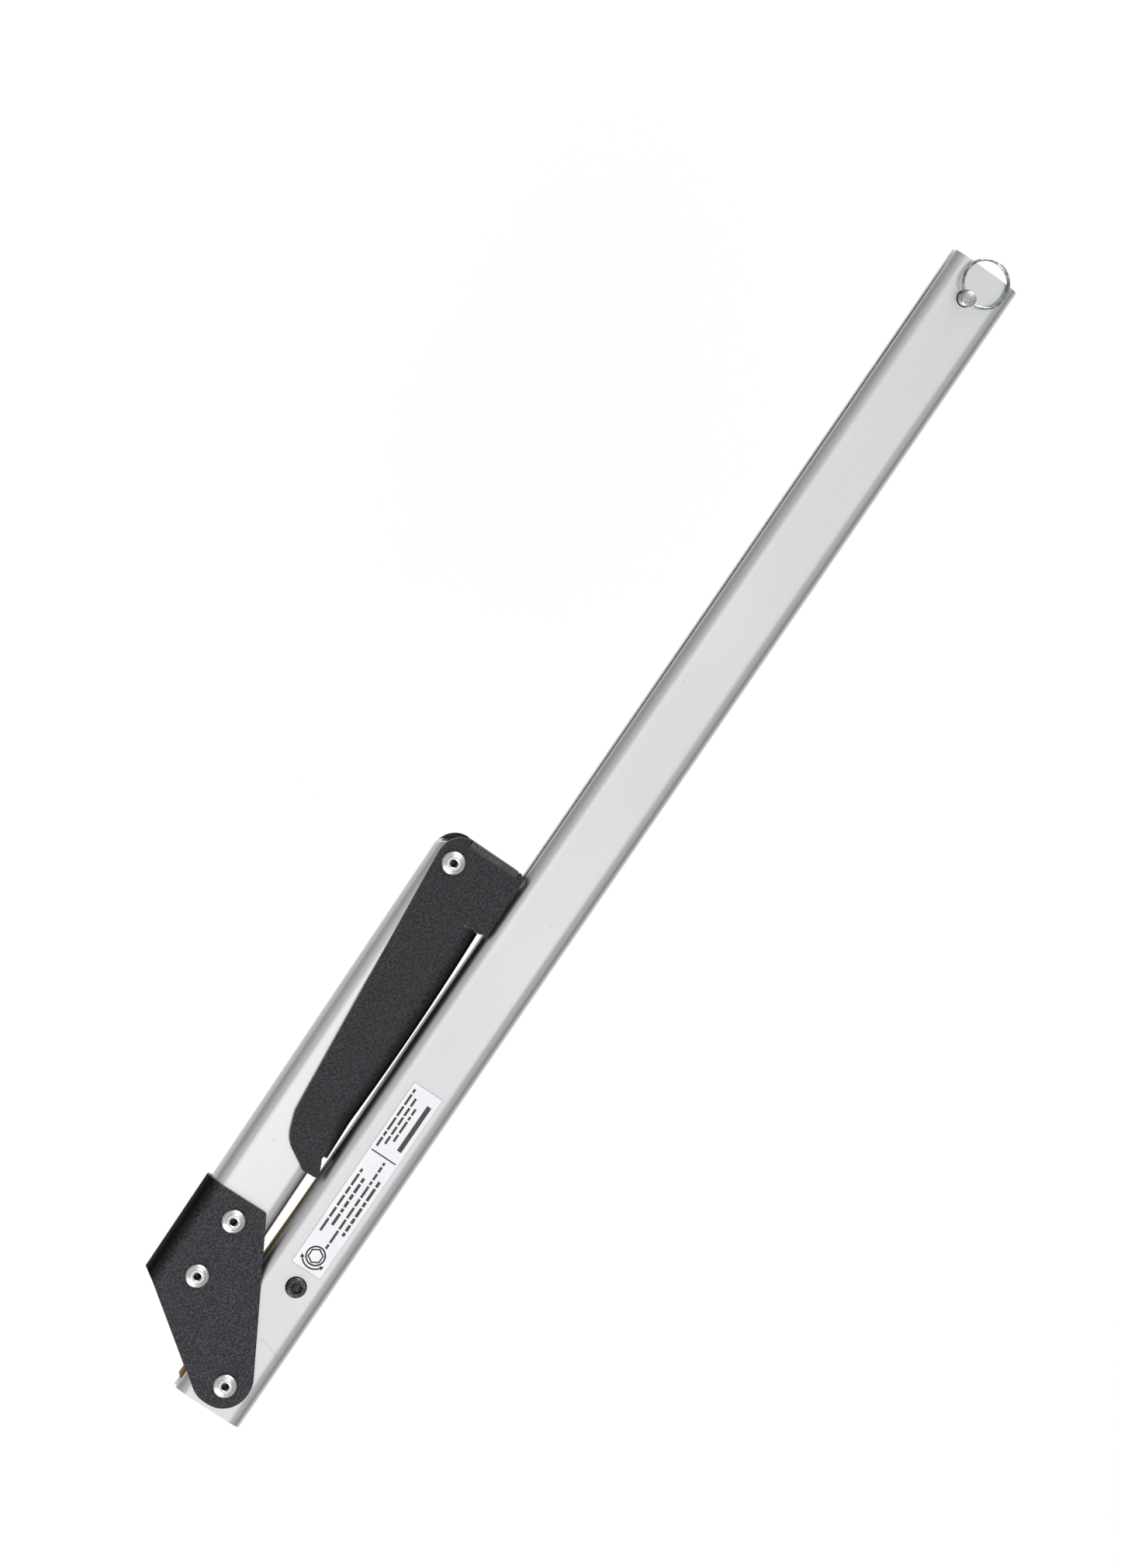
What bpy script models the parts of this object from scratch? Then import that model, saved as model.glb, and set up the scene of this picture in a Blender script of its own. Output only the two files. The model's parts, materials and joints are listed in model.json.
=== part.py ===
"""Folding triangular camp saw, folded flat: slotted main tube, hinged arm, tension lever and stored blade.

The saw frame has its origin on the main pivot, X along the main tube towards the ring end, Y across
it towards the arm, and Z up out of the near face. It is placed in the world so that the origin is
at the middle of the whole saw's base. Lengths here are in millimetres until MM turns them to metres.
"""

import math

import bmesh
import bpy
from mathutils import Matrix, Vector

MM = 0.001

# Driving dimensions: tubes
TUBE_WIDTH = 31.3
TUBE_THICKNESS = 12.7
TUBE_WALL = 1.5
TUBE_END_X = -11.65
TUBE_LENGTH = 543.35
SLOT_WIDTH = 4.8
SLOT_BREAK = 0.5
TUBE_ARC_STEPS = 9
GAP = 0.3

# Driving dimensions: arm, in the arm frame, which turns about the main pivot
ARM_TILT = math.radians(0.63)
ARM_AXIS_Y = 34.05
ARM_START_X = 21.8
ARM_END_X = 227.2
ARM_TIP_RADIUS = 5.0

# Driving dimensions: black sheet parts
SHEET = 1.5
SHEET_INNER_Z = TUBE_THICKNESS / 2 + GAP
SHEET_OUTER_Z = SHEET_INNER_Z + SHEET
TIP_BEND_INSIDE = 2.6
SPINE_GAP = 0.4
SPINE_INNER_Y = ARM_AXIS_Y + TUBE_WIDTH / 2 + SPINE_GAP
BRACKET_RIVETS = ((30.8, 33.9), (56.45, 34.0))
BRACKET_END_RADIUS = 11.2
BRACKET_END_X = 66.1
LEVER_PIVOT = (220.7, 43.1)
LEVER_SPINE_Y = -25.5
LEVER_SPINE_BOW = 1.2
LEVER_SPINE_START = -124.0
LEVER_SPINE_END = -17.6
LEVER_FLANGE_X = 11.5
LEVER_FLANGE_TOP = -1.5
LEVER_FLANGE_BOTTOM = -24.6

# Driving dimensions: blind rivets
RIVET_HEAD_RADIUS = 4.8
RIVET_SHANK_RADIUS = 2.4
RIVET_BORE_RADIUS = 1.5
RIVET_HEAD_HEIGHT = 1.75
RIVET_TAIL_RADIUS = 3.9
BASE_Z = -9.9
SPACER_RADIUS = 4.2

# Driving dimensions: blade, pin and ring
PIN_PLACE = (517.6, 1.6)
PIN_RADIUS = 3.1
PIN_PLAY = 0.45
PIN_HEAD_RADIUS = 4.75
PIN_TOP_Z = 13.0
PIN_HOLE_Z = 10.0
PIN_HOLE_RADIUS = 1.35
BLADE_TURN = math.radians(-0.89)
BLADE_LENGTH = 533.5
BLADE_THICKNESS = 0.8
BLADE_HOLE_INSET = 8.0
BLADE_HOLE_RADIUS = 3.45
BLADE_BACK_Y = 7.0
BLADE_TANG_WIDTH = 13.5
BLADE_TANG_LENGTH = 22.0
BLADE_SLOPE_LENGTH = 18.0
BLADE_BODY_WIDTH = 15.7
TOOTH_PITCH = 6.0
TOOTH_DEPTH = 5.0
TOOTH_START = 60.0
RING_RADIUS = 9.6
RING_WIRE_RADIUS = 0.52
RING_PITCH = 1.12
RING_TURNS = 1.86
RING_HOLE_ANGLE = math.radians(72.0)
RING_DROOP = math.radians(7.0)

# Driving dimensions: set screw and label
SCREW_PLACE = (47.6, -1.6)
SCREW_RADIUS = 3.97
SCREW_TOP_Z = 8.7
SCREW_LENGTH = 7.95
SCREW_SOCKET_ACROSS = 4.0
SCREW_SOCKET_DEPTH = 4.0
NUT_RADIUS = 6.2
NUT_HEIGHT = 3.0
LABEL_X = (55.1, 141.0)
LABEL_Y = (-7.9, 6.1)
LABEL_THICKNESS = 0.15
LABEL_LIFT = 0.1

ROUND_STEPS = 24
MAIN_HOLE_RADIUS = RIVET_SHANK_RADIUS + GAP
TUBE_INNER_Z = TUBE_THICKNESS / 2 - TUBE_WALL


def clear_scene():
    for old in list(bpy.data.objects):
        bpy.data.objects.remove(old, do_unlink=True)


def material(name, colour, roughness, metallic):
    made = bpy.data.materials.new(name)
    made.use_nodes = True
    shader = made.node_tree.nodes["Principled BSDF"]
    shader.inputs["Base Color"].default_value = (*colour, 1.0)
    shader.inputs["Roughness"].default_value = roughness
    shader.inputs["Metallic"].default_value = metallic
    return made


def frame_empty(name, place, turn, parent):
    empty = bpy.data.objects.new(name, None)
    bpy.context.collection.objects.link(empty)
    empty.parent = parent
    empty.location = Vector(place) * MM
    empty.rotation_euler = (0.0, 0.0, turn)
    return empty


def arc(centre, radius, start, end, steps):
    """Points on an arc, with angles in degrees."""
    angles = [math.radians(start + (end - start) * i / steps) for i in range(steps + 1)]
    return [(centre[0] + radius * math.cos(a), centre[1] + radius * math.sin(a)) for a in angles]


def rounded(corners, degrees_per_step=9.0):
    """A closed outline of (x, y, radius) corners, each turned on an arc that meets both its sides."""
    outline = []
    count = len(corners)
    for index, (x, y, radius) in enumerate(corners):
        here = Vector((x, y))
        if radius == 0:
            outline.append((x, y))
            continue
        back = (Vector(corners[index - 1][:2]) - here).normalized()
        ahead = (Vector(corners[(index + 1) % count][:2]) - here).normalized()
        half = back.angle(ahead) / 2
        centre = here + (back + ahead).normalized() * (radius / math.sin(half))
        reach = radius / math.tan(half)
        first = here + back * reach - centre
        turn = first.angle_signed(here + ahead * reach - centre)
        steps = max(2, round(abs(math.degrees(turn)) / degrees_per_step))
        for step in range(steps + 1):
            spun = Matrix.Rotation(-turn * step / steps, 2) @ first
            outline.append(tuple(centre + spun))
    return outline


def add_object(name, mesh_maker, parent, finish):
    """A named object from a bmesh in millimetres, recalculated so that every face points out."""
    mesh = bpy.data.meshes.new(name)
    bmesh.ops.recalc_face_normals(mesh_maker, faces=mesh_maker.faces)
    bmesh.ops.scale(mesh_maker, vec=(MM, MM, MM), verts=mesh_maker.verts)
    mesh_maker.to_mesh(mesh)
    mesh_maker.free()
    made = bpy.data.objects.new(name, mesh)
    bpy.context.collection.objects.link(made)
    made.parent = parent
    if finish:
        mesh.materials.append(finish)
        mesh.shade_smooth()
        mesh.set_sharp_from_angle(angle=math.radians(35.0))
    return made


def loft(rings):
    """A closed body through rings of points that all have the same count."""
    body = bmesh.new()
    rows = [[body.verts.new(point) for point in ring] for ring in rings]
    for row, following in zip(rows, rows[1:]):
        for i in range(len(row)):
            j = (i + 1) % len(row)
            body.faces.new((row[i], row[j], following[j], following[i]))
    body.faces.new(rows[0])
    body.faces.new(list(reversed(rows[-1])))
    return body


def prism(outline, low, high):
    return loft([[(x, y, z) for x, y in outline] for z in (low, high)])


def turned(profile, steps=ROUND_STEPS):
    """A body turned about Z from (radius, z) points, whose ends are closed on the axis if they touch it."""
    body = bmesh.new()
    edges = []
    verts = [body.verts.new((radius, 0.0, z)) for radius, z in profile]
    closed = profile[0][0] > 0 and profile[-1][0] > 0
    pairs = list(zip(verts, verts[1:])) + ([(verts[-1], verts[0])] if closed else [])
    for first, second in pairs:
        edges.append(body.edges.new((first, second)))
    bmesh.ops.spin(body, geom=verts + edges, cent=(0, 0, 0), axis=(0, 0, 1), angle=math.tau,
                   steps=steps, use_merge=True)
    bmesh.ops.remove_doubles(body, verts=body.verts, dist=1e-4)
    return body


def place(body, x, y, z=0.0):
    bmesh.ops.translate(body, vec=(x, y, z), verts=body.verts)
    return body


def cut(target, name, body, parent):
    """Takes body out of target. The cutter stays in the scene as a hidden guide."""
    cutter = add_object(name, body, parent, None)
    cutter.hide_render = True
    cutter.display_type = "WIRE"
    step = target.modifiers.new(name, "BOOLEAN")
    step.operation = "DIFFERENCE"
    step.solver = "EXACT"
    step.object = cutter


def tube_profile():
    """The slotted flat oval as (y, z), with its slot at +Y. It runs round the outside, then back inside."""
    straight = TUBE_WIDTH / 2 - TUBE_THICKNESS / 2
    outer = TUBE_THICKNESS / 2
    inner = outer - TUBE_WALL
    lip = math.degrees(math.asin((SLOT_WIDTH / 2 + SLOT_BREAK) / outer))
    lip_inside = math.degrees(math.asin(SLOT_WIDTH / 2 / inner))
    outside = arc((straight, 0), outer, lip, 90, TUBE_ARC_STEPS)
    outside += arc((-straight, 0), outer, 90, 270, 2 * TUBE_ARC_STEPS)
    outside += arc((straight, 0), outer, 270, 360 - lip, TUBE_ARC_STEPS)
    lip_y = straight + math.sqrt(outer ** 2 - (SLOT_WIDTH / 2 + SLOT_BREAK) ** 2) - SLOT_BREAK
    lips = [(lip_y, -SLOT_WIDTH / 2)]
    inside = arc((straight, 0), inner, 360 - lip_inside, 270, TUBE_ARC_STEPS)
    inside += arc((-straight, 0), inner, 270, 90, 2 * TUBE_ARC_STEPS)
    inside += arc((straight, 0), inner, 90, lip_inside, TUBE_ARC_STEPS)
    return outside + lips + inside + [(lip_y, SLOT_WIDTH / 2)]


def hole(x, y, radius, low, high):
    return prism(arc((x, y), radius, 0, 360 - 360 / ROUND_STEPS, ROUND_STEPS - 1), low, high)


def make_main_tube(parent, finish):
    ends = (TUBE_END_X, TUBE_END_X + TUBE_LENGTH)
    tube = add_object("main_tube", loft([[(x, y, z) for y, z in tube_profile()] for x in ends]), parent, finish)
    outside = TUBE_THICKNESS
    cut(tube, "cut_main_pivot", hole(0, 0, MAIN_HOLE_RADIUS, -outside, outside), parent)
    cut(tube, "cut_blade_pin", hole(*PIN_PLACE, PIN_RADIUS + PIN_PLAY, -outside, outside), parent)
    cut(tube, "cut_set_screw", hole(*SCREW_PLACE, SCREW_RADIUS + GAP, 0, outside), parent)


def oval(radius):
    """The closed flat oval as (y, z), at the given distance from the line between its end centres."""
    straight = TUBE_WIDTH / 2 - TUBE_THICKNESS / 2
    outline = arc((straight, 0), radius, -90, 90, 2 * TUBE_ARC_STEPS)
    return outline + arc((-straight, 0), radius, 90, 270, 2 * TUBE_ARC_STEPS)


def make_arm_tube(arm_frame, finish):
    """A closed flat oval of the main tube's size, open at both ends."""
    outside = TUBE_THICKNESS
    ends = (ARM_START_X, ARM_END_X)
    rings = [[(x, ARM_AXIS_Y + y, z) for y, z in oval(TUBE_THICKNESS / 2)] for x in ends]
    tube = add_object("arm_tube", loft(rings), arm_frame, finish)
    beyond = (ARM_START_X - outside, ARM_END_X + outside)
    bore = [[(x, ARM_AXIS_Y + y, z) for y, z in oval(TUBE_INNER_Z)] for x in beyond]
    cut(tube, "cut_arm_bore", loft(bore), arm_frame)
    for number, (x, y) in enumerate(BRACKET_RIVETS, 1):
        cut(tube, f"cut_bracket_rivet_{number}", hole(x, y, MAIN_HOLE_RADIUS, -outside, outside), arm_frame)
    cut(tube, "cut_lever_pivot", hole(*pivot_in_arm(), MAIN_HOLE_RADIUS, -outside, outside), arm_frame)
    edge = ARM_AXIS_Y + TUBE_WIDTH / 2
    centre = (ARM_END_X - ARM_TIP_RADIUS, edge - ARM_TIP_RADIUS)
    corner = arc(centre, ARM_TIP_RADIUS, 90, 0, 10)
    corner += [(ARM_END_X + 5, centre[1]), (ARM_END_X + 5, edge + 5), (centre[0], edge + 5)]
    cut(tube, "cut_arm_tip", prism(corner, -outside, outside), arm_frame)


def pivot_in_arm():
    turned_back = Matrix.Rotation(-ARM_TILT, 2) @ Vector(LEVER_PIVOT)
    return turned_back.x, turned_back.y


def fold_corner(y_out, side, radius):
    """(y, z) points of the square corner that a rounded fold leaves away. side is +1 or -1 along Y."""
    centre = (y_out - side * radius, SHEET_OUTER_Z - radius)
    curve = [(centre[0] + side * radius * math.sin(a), centre[1] + radius * math.cos(a))
             for a in [math.radians(90 * i / 8) for i in range(9)]]
    return curve + [(y_out + side * 2, centre[1]), (y_out + side * 2, SHEET_OUTER_Z + 2),
                    (centre[0], SHEET_OUTER_Z + 2)]


def fold_inside(y_in, side, radius, reach):
    """(y, z) section of the space inside a folded channel, open away from its spine."""
    centre_z = SHEET_INNER_Z - radius
    centre_y = y_in - side * radius
    upper = [(centre_y + side * radius * math.cos(a), centre_z + radius * math.sin(a))
             for a in [math.radians(90 * i / 8) for i in range(9)]]
    lower = [(y, -z) for y, z in reversed(upper) if z > 0]
    return upper + [(reach, SHEET_INNER_Z), (reach, -SHEET_INNER_Z)] + lower


def bracket_outline():
    """Plate outline in the arm frame: a round end about the pivot, widening to the folded edge."""
    spine = SPINE_INNER_Y + SHEET
    radius = BRACKET_END_RADIUS
    return rounded([
        (22.9, spine, 0.8),
        (-9.7, 7.0, radius),
        (-9.7, -3.1, radius),
        (-3.1, -9.7, radius),
        (5.6, -9.7, radius),
        (BRACKET_END_X, 24.7, 0.8),
        (BRACKET_END_X, spine, 0.8),
    ])


def make_bracket(arm_frame, finish):
    body = prism(bracket_outline(), -SHEET_OUTER_Z, SHEET_OUTER_Z)
    bracket = add_object("hinge_bracket", body, arm_frame, finish)
    ends = (-40.0, 100.0)
    section = fold_inside(SPINE_INNER_Y, 1, SHEET_INNER_Z, -60.0)
    cut(bracket, "cut_bracket_inside", loft([[(x, y, z) for y, z in section] for x in ends]), arm_frame)
    corner = fold_corner(SPINE_INNER_Y + SHEET, 1, SHEET_OUTER_Z)
    for name, flip in (("near", 1), ("far", -1)):
        rings = [[(x, y, z * flip) for y, z in corner] for x in ends]
        cut(bracket, f"cut_bracket_fold_{name}", loft(rings), arm_frame)
    holes = [(0.0, 0.0), *BRACKET_RIVETS]
    for number, (x, y) in enumerate(holes):
        body = hole(x, y, MAIN_HOLE_RADIUS, -TUBE_WIDTH, TUBE_WIDTH)
        cut(bracket, f"cut_bracket_hole_{number}", body, arm_frame)


def lever_outline():
    """Plate outline about the lever pivot, from the tip's top corner round the finger end and back."""
    finger = [
        (LEVER_FLANGE_X, 7.3, 9.3),
        (0.0, 7.3, 12.0),
        (-115.6, -4.0, 14.0),
        (-126.3, -8.2, 12.0),
        (-133.0, -20.0, 1.5),
        (-132.6, -27.4, 1.5),
    ]
    spine = [(x, spine_y(x), 0) for x in spine_stations()]
    ear = [
        (LEVER_SPINE_END, LEVER_SPINE_Y, 0),
        (LEVER_SPINE_END, -27.2, 3.4),
        (LEVER_FLANGE_X, -27.2, 3.4),
    ]
    return rounded(finger + spine + ear)


def spine_stations():
    count = 10
    return [LEVER_SPINE_START + (LEVER_SPINE_END - 1.0 - LEVER_SPINE_START) * i / count for i in range(count + 1)]


def spine_y(x):
    """The spine's outer edge, bowed like a shallow arch between its ends."""
    share = (x - LEVER_SPINE_START) / (LEVER_SPINE_END - LEVER_SPINE_START)
    return LEVER_SPINE_Y - LEVER_SPINE_BOW * 4 * share * (1 - share)


def lever_fold(flip):
    """The corner that the spine's fold leaves away, along the bow, running out to nothing at the finger end."""
    fade = 14.0
    rings = []
    for x in [LEVER_SPINE_START, *spine_stations()[2:], LEVER_SPINE_END]:
        size = 0.12 + 0.88 * min(1.0, (x - LEVER_SPINE_START) / fade)
        section = fold_corner(spine_y(x), -1, SHEET_OUTER_Z * size)
        rings.append([(x, y, z * flip) for y, z in section])
    return loft(rings)


def make_lever(lever_frame, finish):
    body = prism(lever_outline(), -SHEET_OUTER_Z, SHEET_OUTER_Z)
    lever = add_object("lever", body, lever_frame, finish)
    channel = [LEVER_SPINE_START - 20.0, *spine_stations(), 0.0]
    rings = []
    for x in channel:
        bow_x = min(max(x, LEVER_SPINE_START), LEVER_SPINE_END)
        section = fold_inside(spine_y(bow_x) + SHEET, -1, SHEET_INNER_Z, 30.0)
        rings.append([(x, y, z) for y, z in section])
    cut(lever, "cut_lever_channel", loft(rings), lever_frame)
    tip_space = fold_inside(LEVER_FLANGE_X - SHEET, 1, TIP_BEND_INSIDE, LEVER_SPINE_END)
    tip = [[(x, y, z) for x, z in tip_space] for y in (-40.0, 30.0)]
    cut(lever, "cut_lever_tip_inside", loft(tip), lever_frame)
    inner = SHEET_INNER_Z
    blocks = {
        "finger": ((LEVER_SPINE_START - 20, LEVER_SPINE_START), (-40, -15)),
        "tip_top": ((4.0, 20.0), (LEVER_FLANGE_TOP, 20)),
        "tip_bottom": ((4.0, 20.0), (-40, LEVER_FLANGE_BOTTOM)),
    }
    for name, ((x0, x1), (y0, y1)) in blocks.items():
        outline = [(x0, y0), (x1, y0), (x1, y1), (x0, y1)]
        cut(lever, f"cut_lever_{name}", prism(outline, -inner, inner), lever_frame)
    for name, flip in (("near", 1), ("far", -1)):
        cut(lever, f"cut_lever_fold_{name}", lever_fold(flip), lever_frame)
        corner = fold_corner(LEVER_FLANGE_X, 1, TIP_BEND_INSIDE + SHEET)
        edge = [[(x, y, z * flip) for x, z in corner] for y in (LEVER_FLANGE_BOTTOM, LEVER_FLANGE_TOP)]
        cut(lever, f"cut_lever_tip_{name}", loft(edge), lever_frame)
    body = hole(0, 0, MAIN_HOLE_RADIUS, -TUBE_WIDTH, TUBE_WIDTH)
    cut(lever, "cut_lever_pivot_hole", body, lever_frame)


def rivet_profile():
    """(radius, z) of a set blind rivet: domed flange, raised collar, open bore and swaged tail."""
    under = SHEET_OUTER_Z + GAP
    top = under + RIVET_HEAD_HEIGHT
    tail = -SHEET_OUTER_Z - GAP
    bore = RIVET_BORE_RADIUS
    return [
        (0.0, tail + 0.6),
        (bore, tail + 0.6),
        (bore, top - 0.45),
        (bore + 0.35, top - 0.1),
        (2.6, top),
        (3.2, top - 0.15),
        (3.5, top - 0.5),
        (RIVET_HEAD_RADIUS - 0.25, under + 0.55),
        (RIVET_HEAD_RADIUS, under + 0.3),
        (RIVET_HEAD_RADIUS - 0.1, under),
        (RIVET_SHANK_RADIUS, under),
        (RIVET_SHANK_RADIUS, tail),
        (RIVET_TAIL_RADIUS - 0.2, tail),
        (RIVET_TAIL_RADIUS, tail - 0.3),
        (RIVET_TAIL_RADIUS - 0.5, BASE_Z + 0.2),
        (RIVET_TAIL_RADIUS - 0.9, BASE_Z),
        (0.0, BASE_Z),
    ]


def mandrel_profile():
    """(radius, z) of the broken-off stub left in the rivet's bore, with a torn tip."""
    radius = RIVET_BORE_RADIUS - 0.25
    low = -SHEET_OUTER_Z + 1.0
    high = SHEET_OUTER_Z - 1.2
    return [(0.0, low), (radius, low), (radius, high - 0.5), (radius - 0.35, high - 0.1), (0.0, high)]


def make_rivet(name, spot, parent, finish, stub_finish):
    add_object(name, place(turned(rivet_profile()), *spot), parent, finish)
    stub = name.replace("rivet", "mandrel")
    add_object(stub, place(turned(mandrel_profile(), 16), *spot), parent, stub_finish)


def make_spacer(name, spot, parent, finish):
    reach = TUBE_INNER_Z - GAP
    bore = RIVET_SHANK_RADIUS + GAP
    profile = [(bore, -reach), (SPACER_RADIUS, -reach), (SPACER_RADIUS, reach), (bore, reach)]
    add_object(name, place(turned(profile), *spot), parent, finish)


def blade_outline():
    """Blade outline about the pin hole: straight back, clipped tangs and pointed teeth on the far edge."""
    free_end = BLADE_HOLE_INSET - BLADE_LENGTH
    back = BLADE_BACK_Y
    tang = back - BLADE_TANG_WIDTH
    root = back - BLADE_BODY_WIDTH
    tip = root - TOOTH_DEPTH
    points = [(BLADE_HOLE_INSET, back), (free_end, back), (free_end, tang)]
    points.append((free_end + BLADE_TANG_LENGTH, tang))
    points.append((free_end + BLADE_TANG_LENGTH + BLADE_SLOPE_LENGTH, root - TOOTH_DEPTH * 0.6))
    first = free_end + TOOTH_START
    count = int((BLADE_LENGTH - 2 * TOOTH_START) / TOOTH_PITCH)
    points.append((first, root - TOOTH_DEPTH * 0.6))
    for tooth in range(count):
        x = first + TOOTH_PITCH * tooth
        points += [(x + 0.4, root), (x + TOOTH_PITCH / 2, tip)]
    points.append((first + TOOTH_PITCH * count + 0.4, root))
    points.append((first + TOOTH_PITCH * count + 1.0, root - TOOTH_DEPTH * 0.6))
    near = BLADE_HOLE_INSET - BLADE_TANG_LENGTH
    points.append((near - BLADE_SLOPE_LENGTH, root - TOOTH_DEPTH * 0.6))
    points += [(near, tang), (BLADE_HOLE_INSET, tang)]
    return points


def make_blade(blade_frame, finish):
    half = BLADE_THICKNESS / 2
    blade = add_object("blade", prism(blade_outline(), -half, half), blade_frame, finish)
    far_hole = 2 * BLADE_HOLE_INSET - BLADE_LENGTH
    for name, x in (("pin", 0.0), ("free", far_hole)):
        cut(blade, f"cut_blade_{name}", hole(x, 0, BLADE_HOLE_RADIUS, -3, 3), blade_frame)


def ring_axis_frame():
    """Turns X to lie along the pin's cross hole."""
    return Matrix.Rotation(RING_HOLE_ANGLE, 4, "Z")


def make_blade_pin(pin_frame, finish):
    head = -TUBE_THICKNESS / 2 - GAP
    profile = [
        (0.0, PIN_TOP_Z),
        (PIN_RADIUS - 0.45, PIN_TOP_Z),
        (PIN_RADIUS, PIN_TOP_Z - 0.4),
        (PIN_RADIUS, head),
        (PIN_HEAD_RADIUS - 0.3, head),
        (PIN_HEAD_RADIUS, head - 0.3),
        (PIN_HEAD_RADIUS, BASE_Z + 0.5),
        (PIN_HEAD_RADIUS - 0.5, BASE_Z),
        (0.0, BASE_Z),
    ]
    pin = add_object("blade_pin", turned(profile), pin_frame, finish)
    bore = hole(0, 0, PIN_HOLE_RADIUS, -8, 8)
    bmesh.ops.rotate(bore, cent=(0, 0, 0), matrix=Matrix.Rotation(math.pi / 2, 3, "Y"), verts=bore.verts)
    bmesh.ops.rotate(bore, cent=(0, 0, 0), matrix=ring_axis_frame().to_3x3(), verts=bore.verts)
    cut(pin, "cut_cross_hole", place(bore, 0, 0, PIN_HOLE_Z), pin_frame)


def make_split_ring(ring_frame, finish):
    """Nearly two turns of wire. Its local X runs through the cross hole and its local Y to the ring's middle."""
    steps = 64
    route = []
    for i in range(steps + 1):
        turn = RING_TURNS * (i / steps - 0.5)
        angle = math.tau * turn
        route.append((RING_RADIUS * math.sin(angle), RING_RADIUS * (1 - math.cos(angle)), RING_PITCH * turn))
    wire = bpy.data.curves.new("split_ring", "CURVE")
    wire.dimensions = "3D"
    wire.bevel_depth = RING_WIRE_RADIUS * MM
    wire.bevel_resolution = 2
    wire.use_fill_caps = True
    spline = wire.splines.new("POLY")
    spline.points.add(len(route) - 1)
    for point, spot in zip(spline.points, route):
        point.co = (*(Vector(spot) * MM), 1.0)
    wire.materials.append(finish)
    ring = bpy.data.objects.new("split_ring", wire)
    bpy.context.collection.objects.link(ring)
    ring.parent = ring_frame
    ring.rotation_euler = (-RING_DROOP, 0.0, 0.0)


def make_set_screw(screw_frame, finish):
    low = SCREW_TOP_Z - SCREW_LENGTH
    profile = [
        (0.0, low),
        (SCREW_RADIUS - 1.4, low),
        (SCREW_RADIUS, low + 1.2),
        (SCREW_RADIUS, SCREW_TOP_Z - 0.5),
        (SCREW_RADIUS - 0.5, SCREW_TOP_Z),
        (0.0, SCREW_TOP_Z),
    ]
    screw = add_object("set_screw", turned(profile), screw_frame, finish)
    corner = SCREW_SOCKET_ACROSS / math.sqrt(3)
    hexagon = arc((0, 0), corner, 0, 300, 5)
    socket = prism(hexagon, SCREW_TOP_Z - SCREW_SOCKET_DEPTH, SCREW_TOP_Z + 2)
    cut(screw, "cut_hex_socket", socket, screw_frame)


def make_screw_nut(saw_frame, finish):
    top = TUBE_INNER_Z - GAP
    bore = SCREW_RADIUS + GAP
    profile = [(bore, top - NUT_HEIGHT), (NUT_RADIUS, top - NUT_HEIGHT), (NUT_RADIUS, top), (bore, top)]
    add_object("set_screw_nut", place(turned(profile), *SCREW_PLACE), saw_frame, finish)


def make_label(saw_frame, finish):
    (x0, x1), (y0, y1) = LABEL_X, LABEL_Y
    outline = rounded([(x0, y0, 0.6), (x1, y0, 0.6), (x1, y1, 0.6), (x0, y1, 0.6)])
    low = TUBE_THICKNESS / 2 + LABEL_LIFT
    add_object("instruction_label", prism(outline, low, low + LABEL_THICKNESS), saw_frame, finish)


def stand_on_base(saw_frame):
    """Moves the saw so that the origin is at the middle of the base of its whole box."""
    bpy.context.view_layer.update()
    graph = bpy.context.evaluated_depsgraph_get()
    corners = []
    for piece in bpy.context.scene.objects:
        if piece.type in ("MESH", "CURVE") and not piece.hide_render:
            evaluated = piece.evaluated_get(graph)
            mesh = evaluated.to_mesh()
            corners += [evaluated.matrix_world @ vert.co for vert in mesh.vertices]
            evaluated.to_mesh_clear()
    low = Vector([min(corner[i] for corner in corners) for i in range(3)])
    high = Vector([max(corner[i] for corner in corners) for i in range(3)])
    saw_frame.location = (-(low.x + high.x) / 2, -(low.y + high.y) / 2, -low.z)


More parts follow.
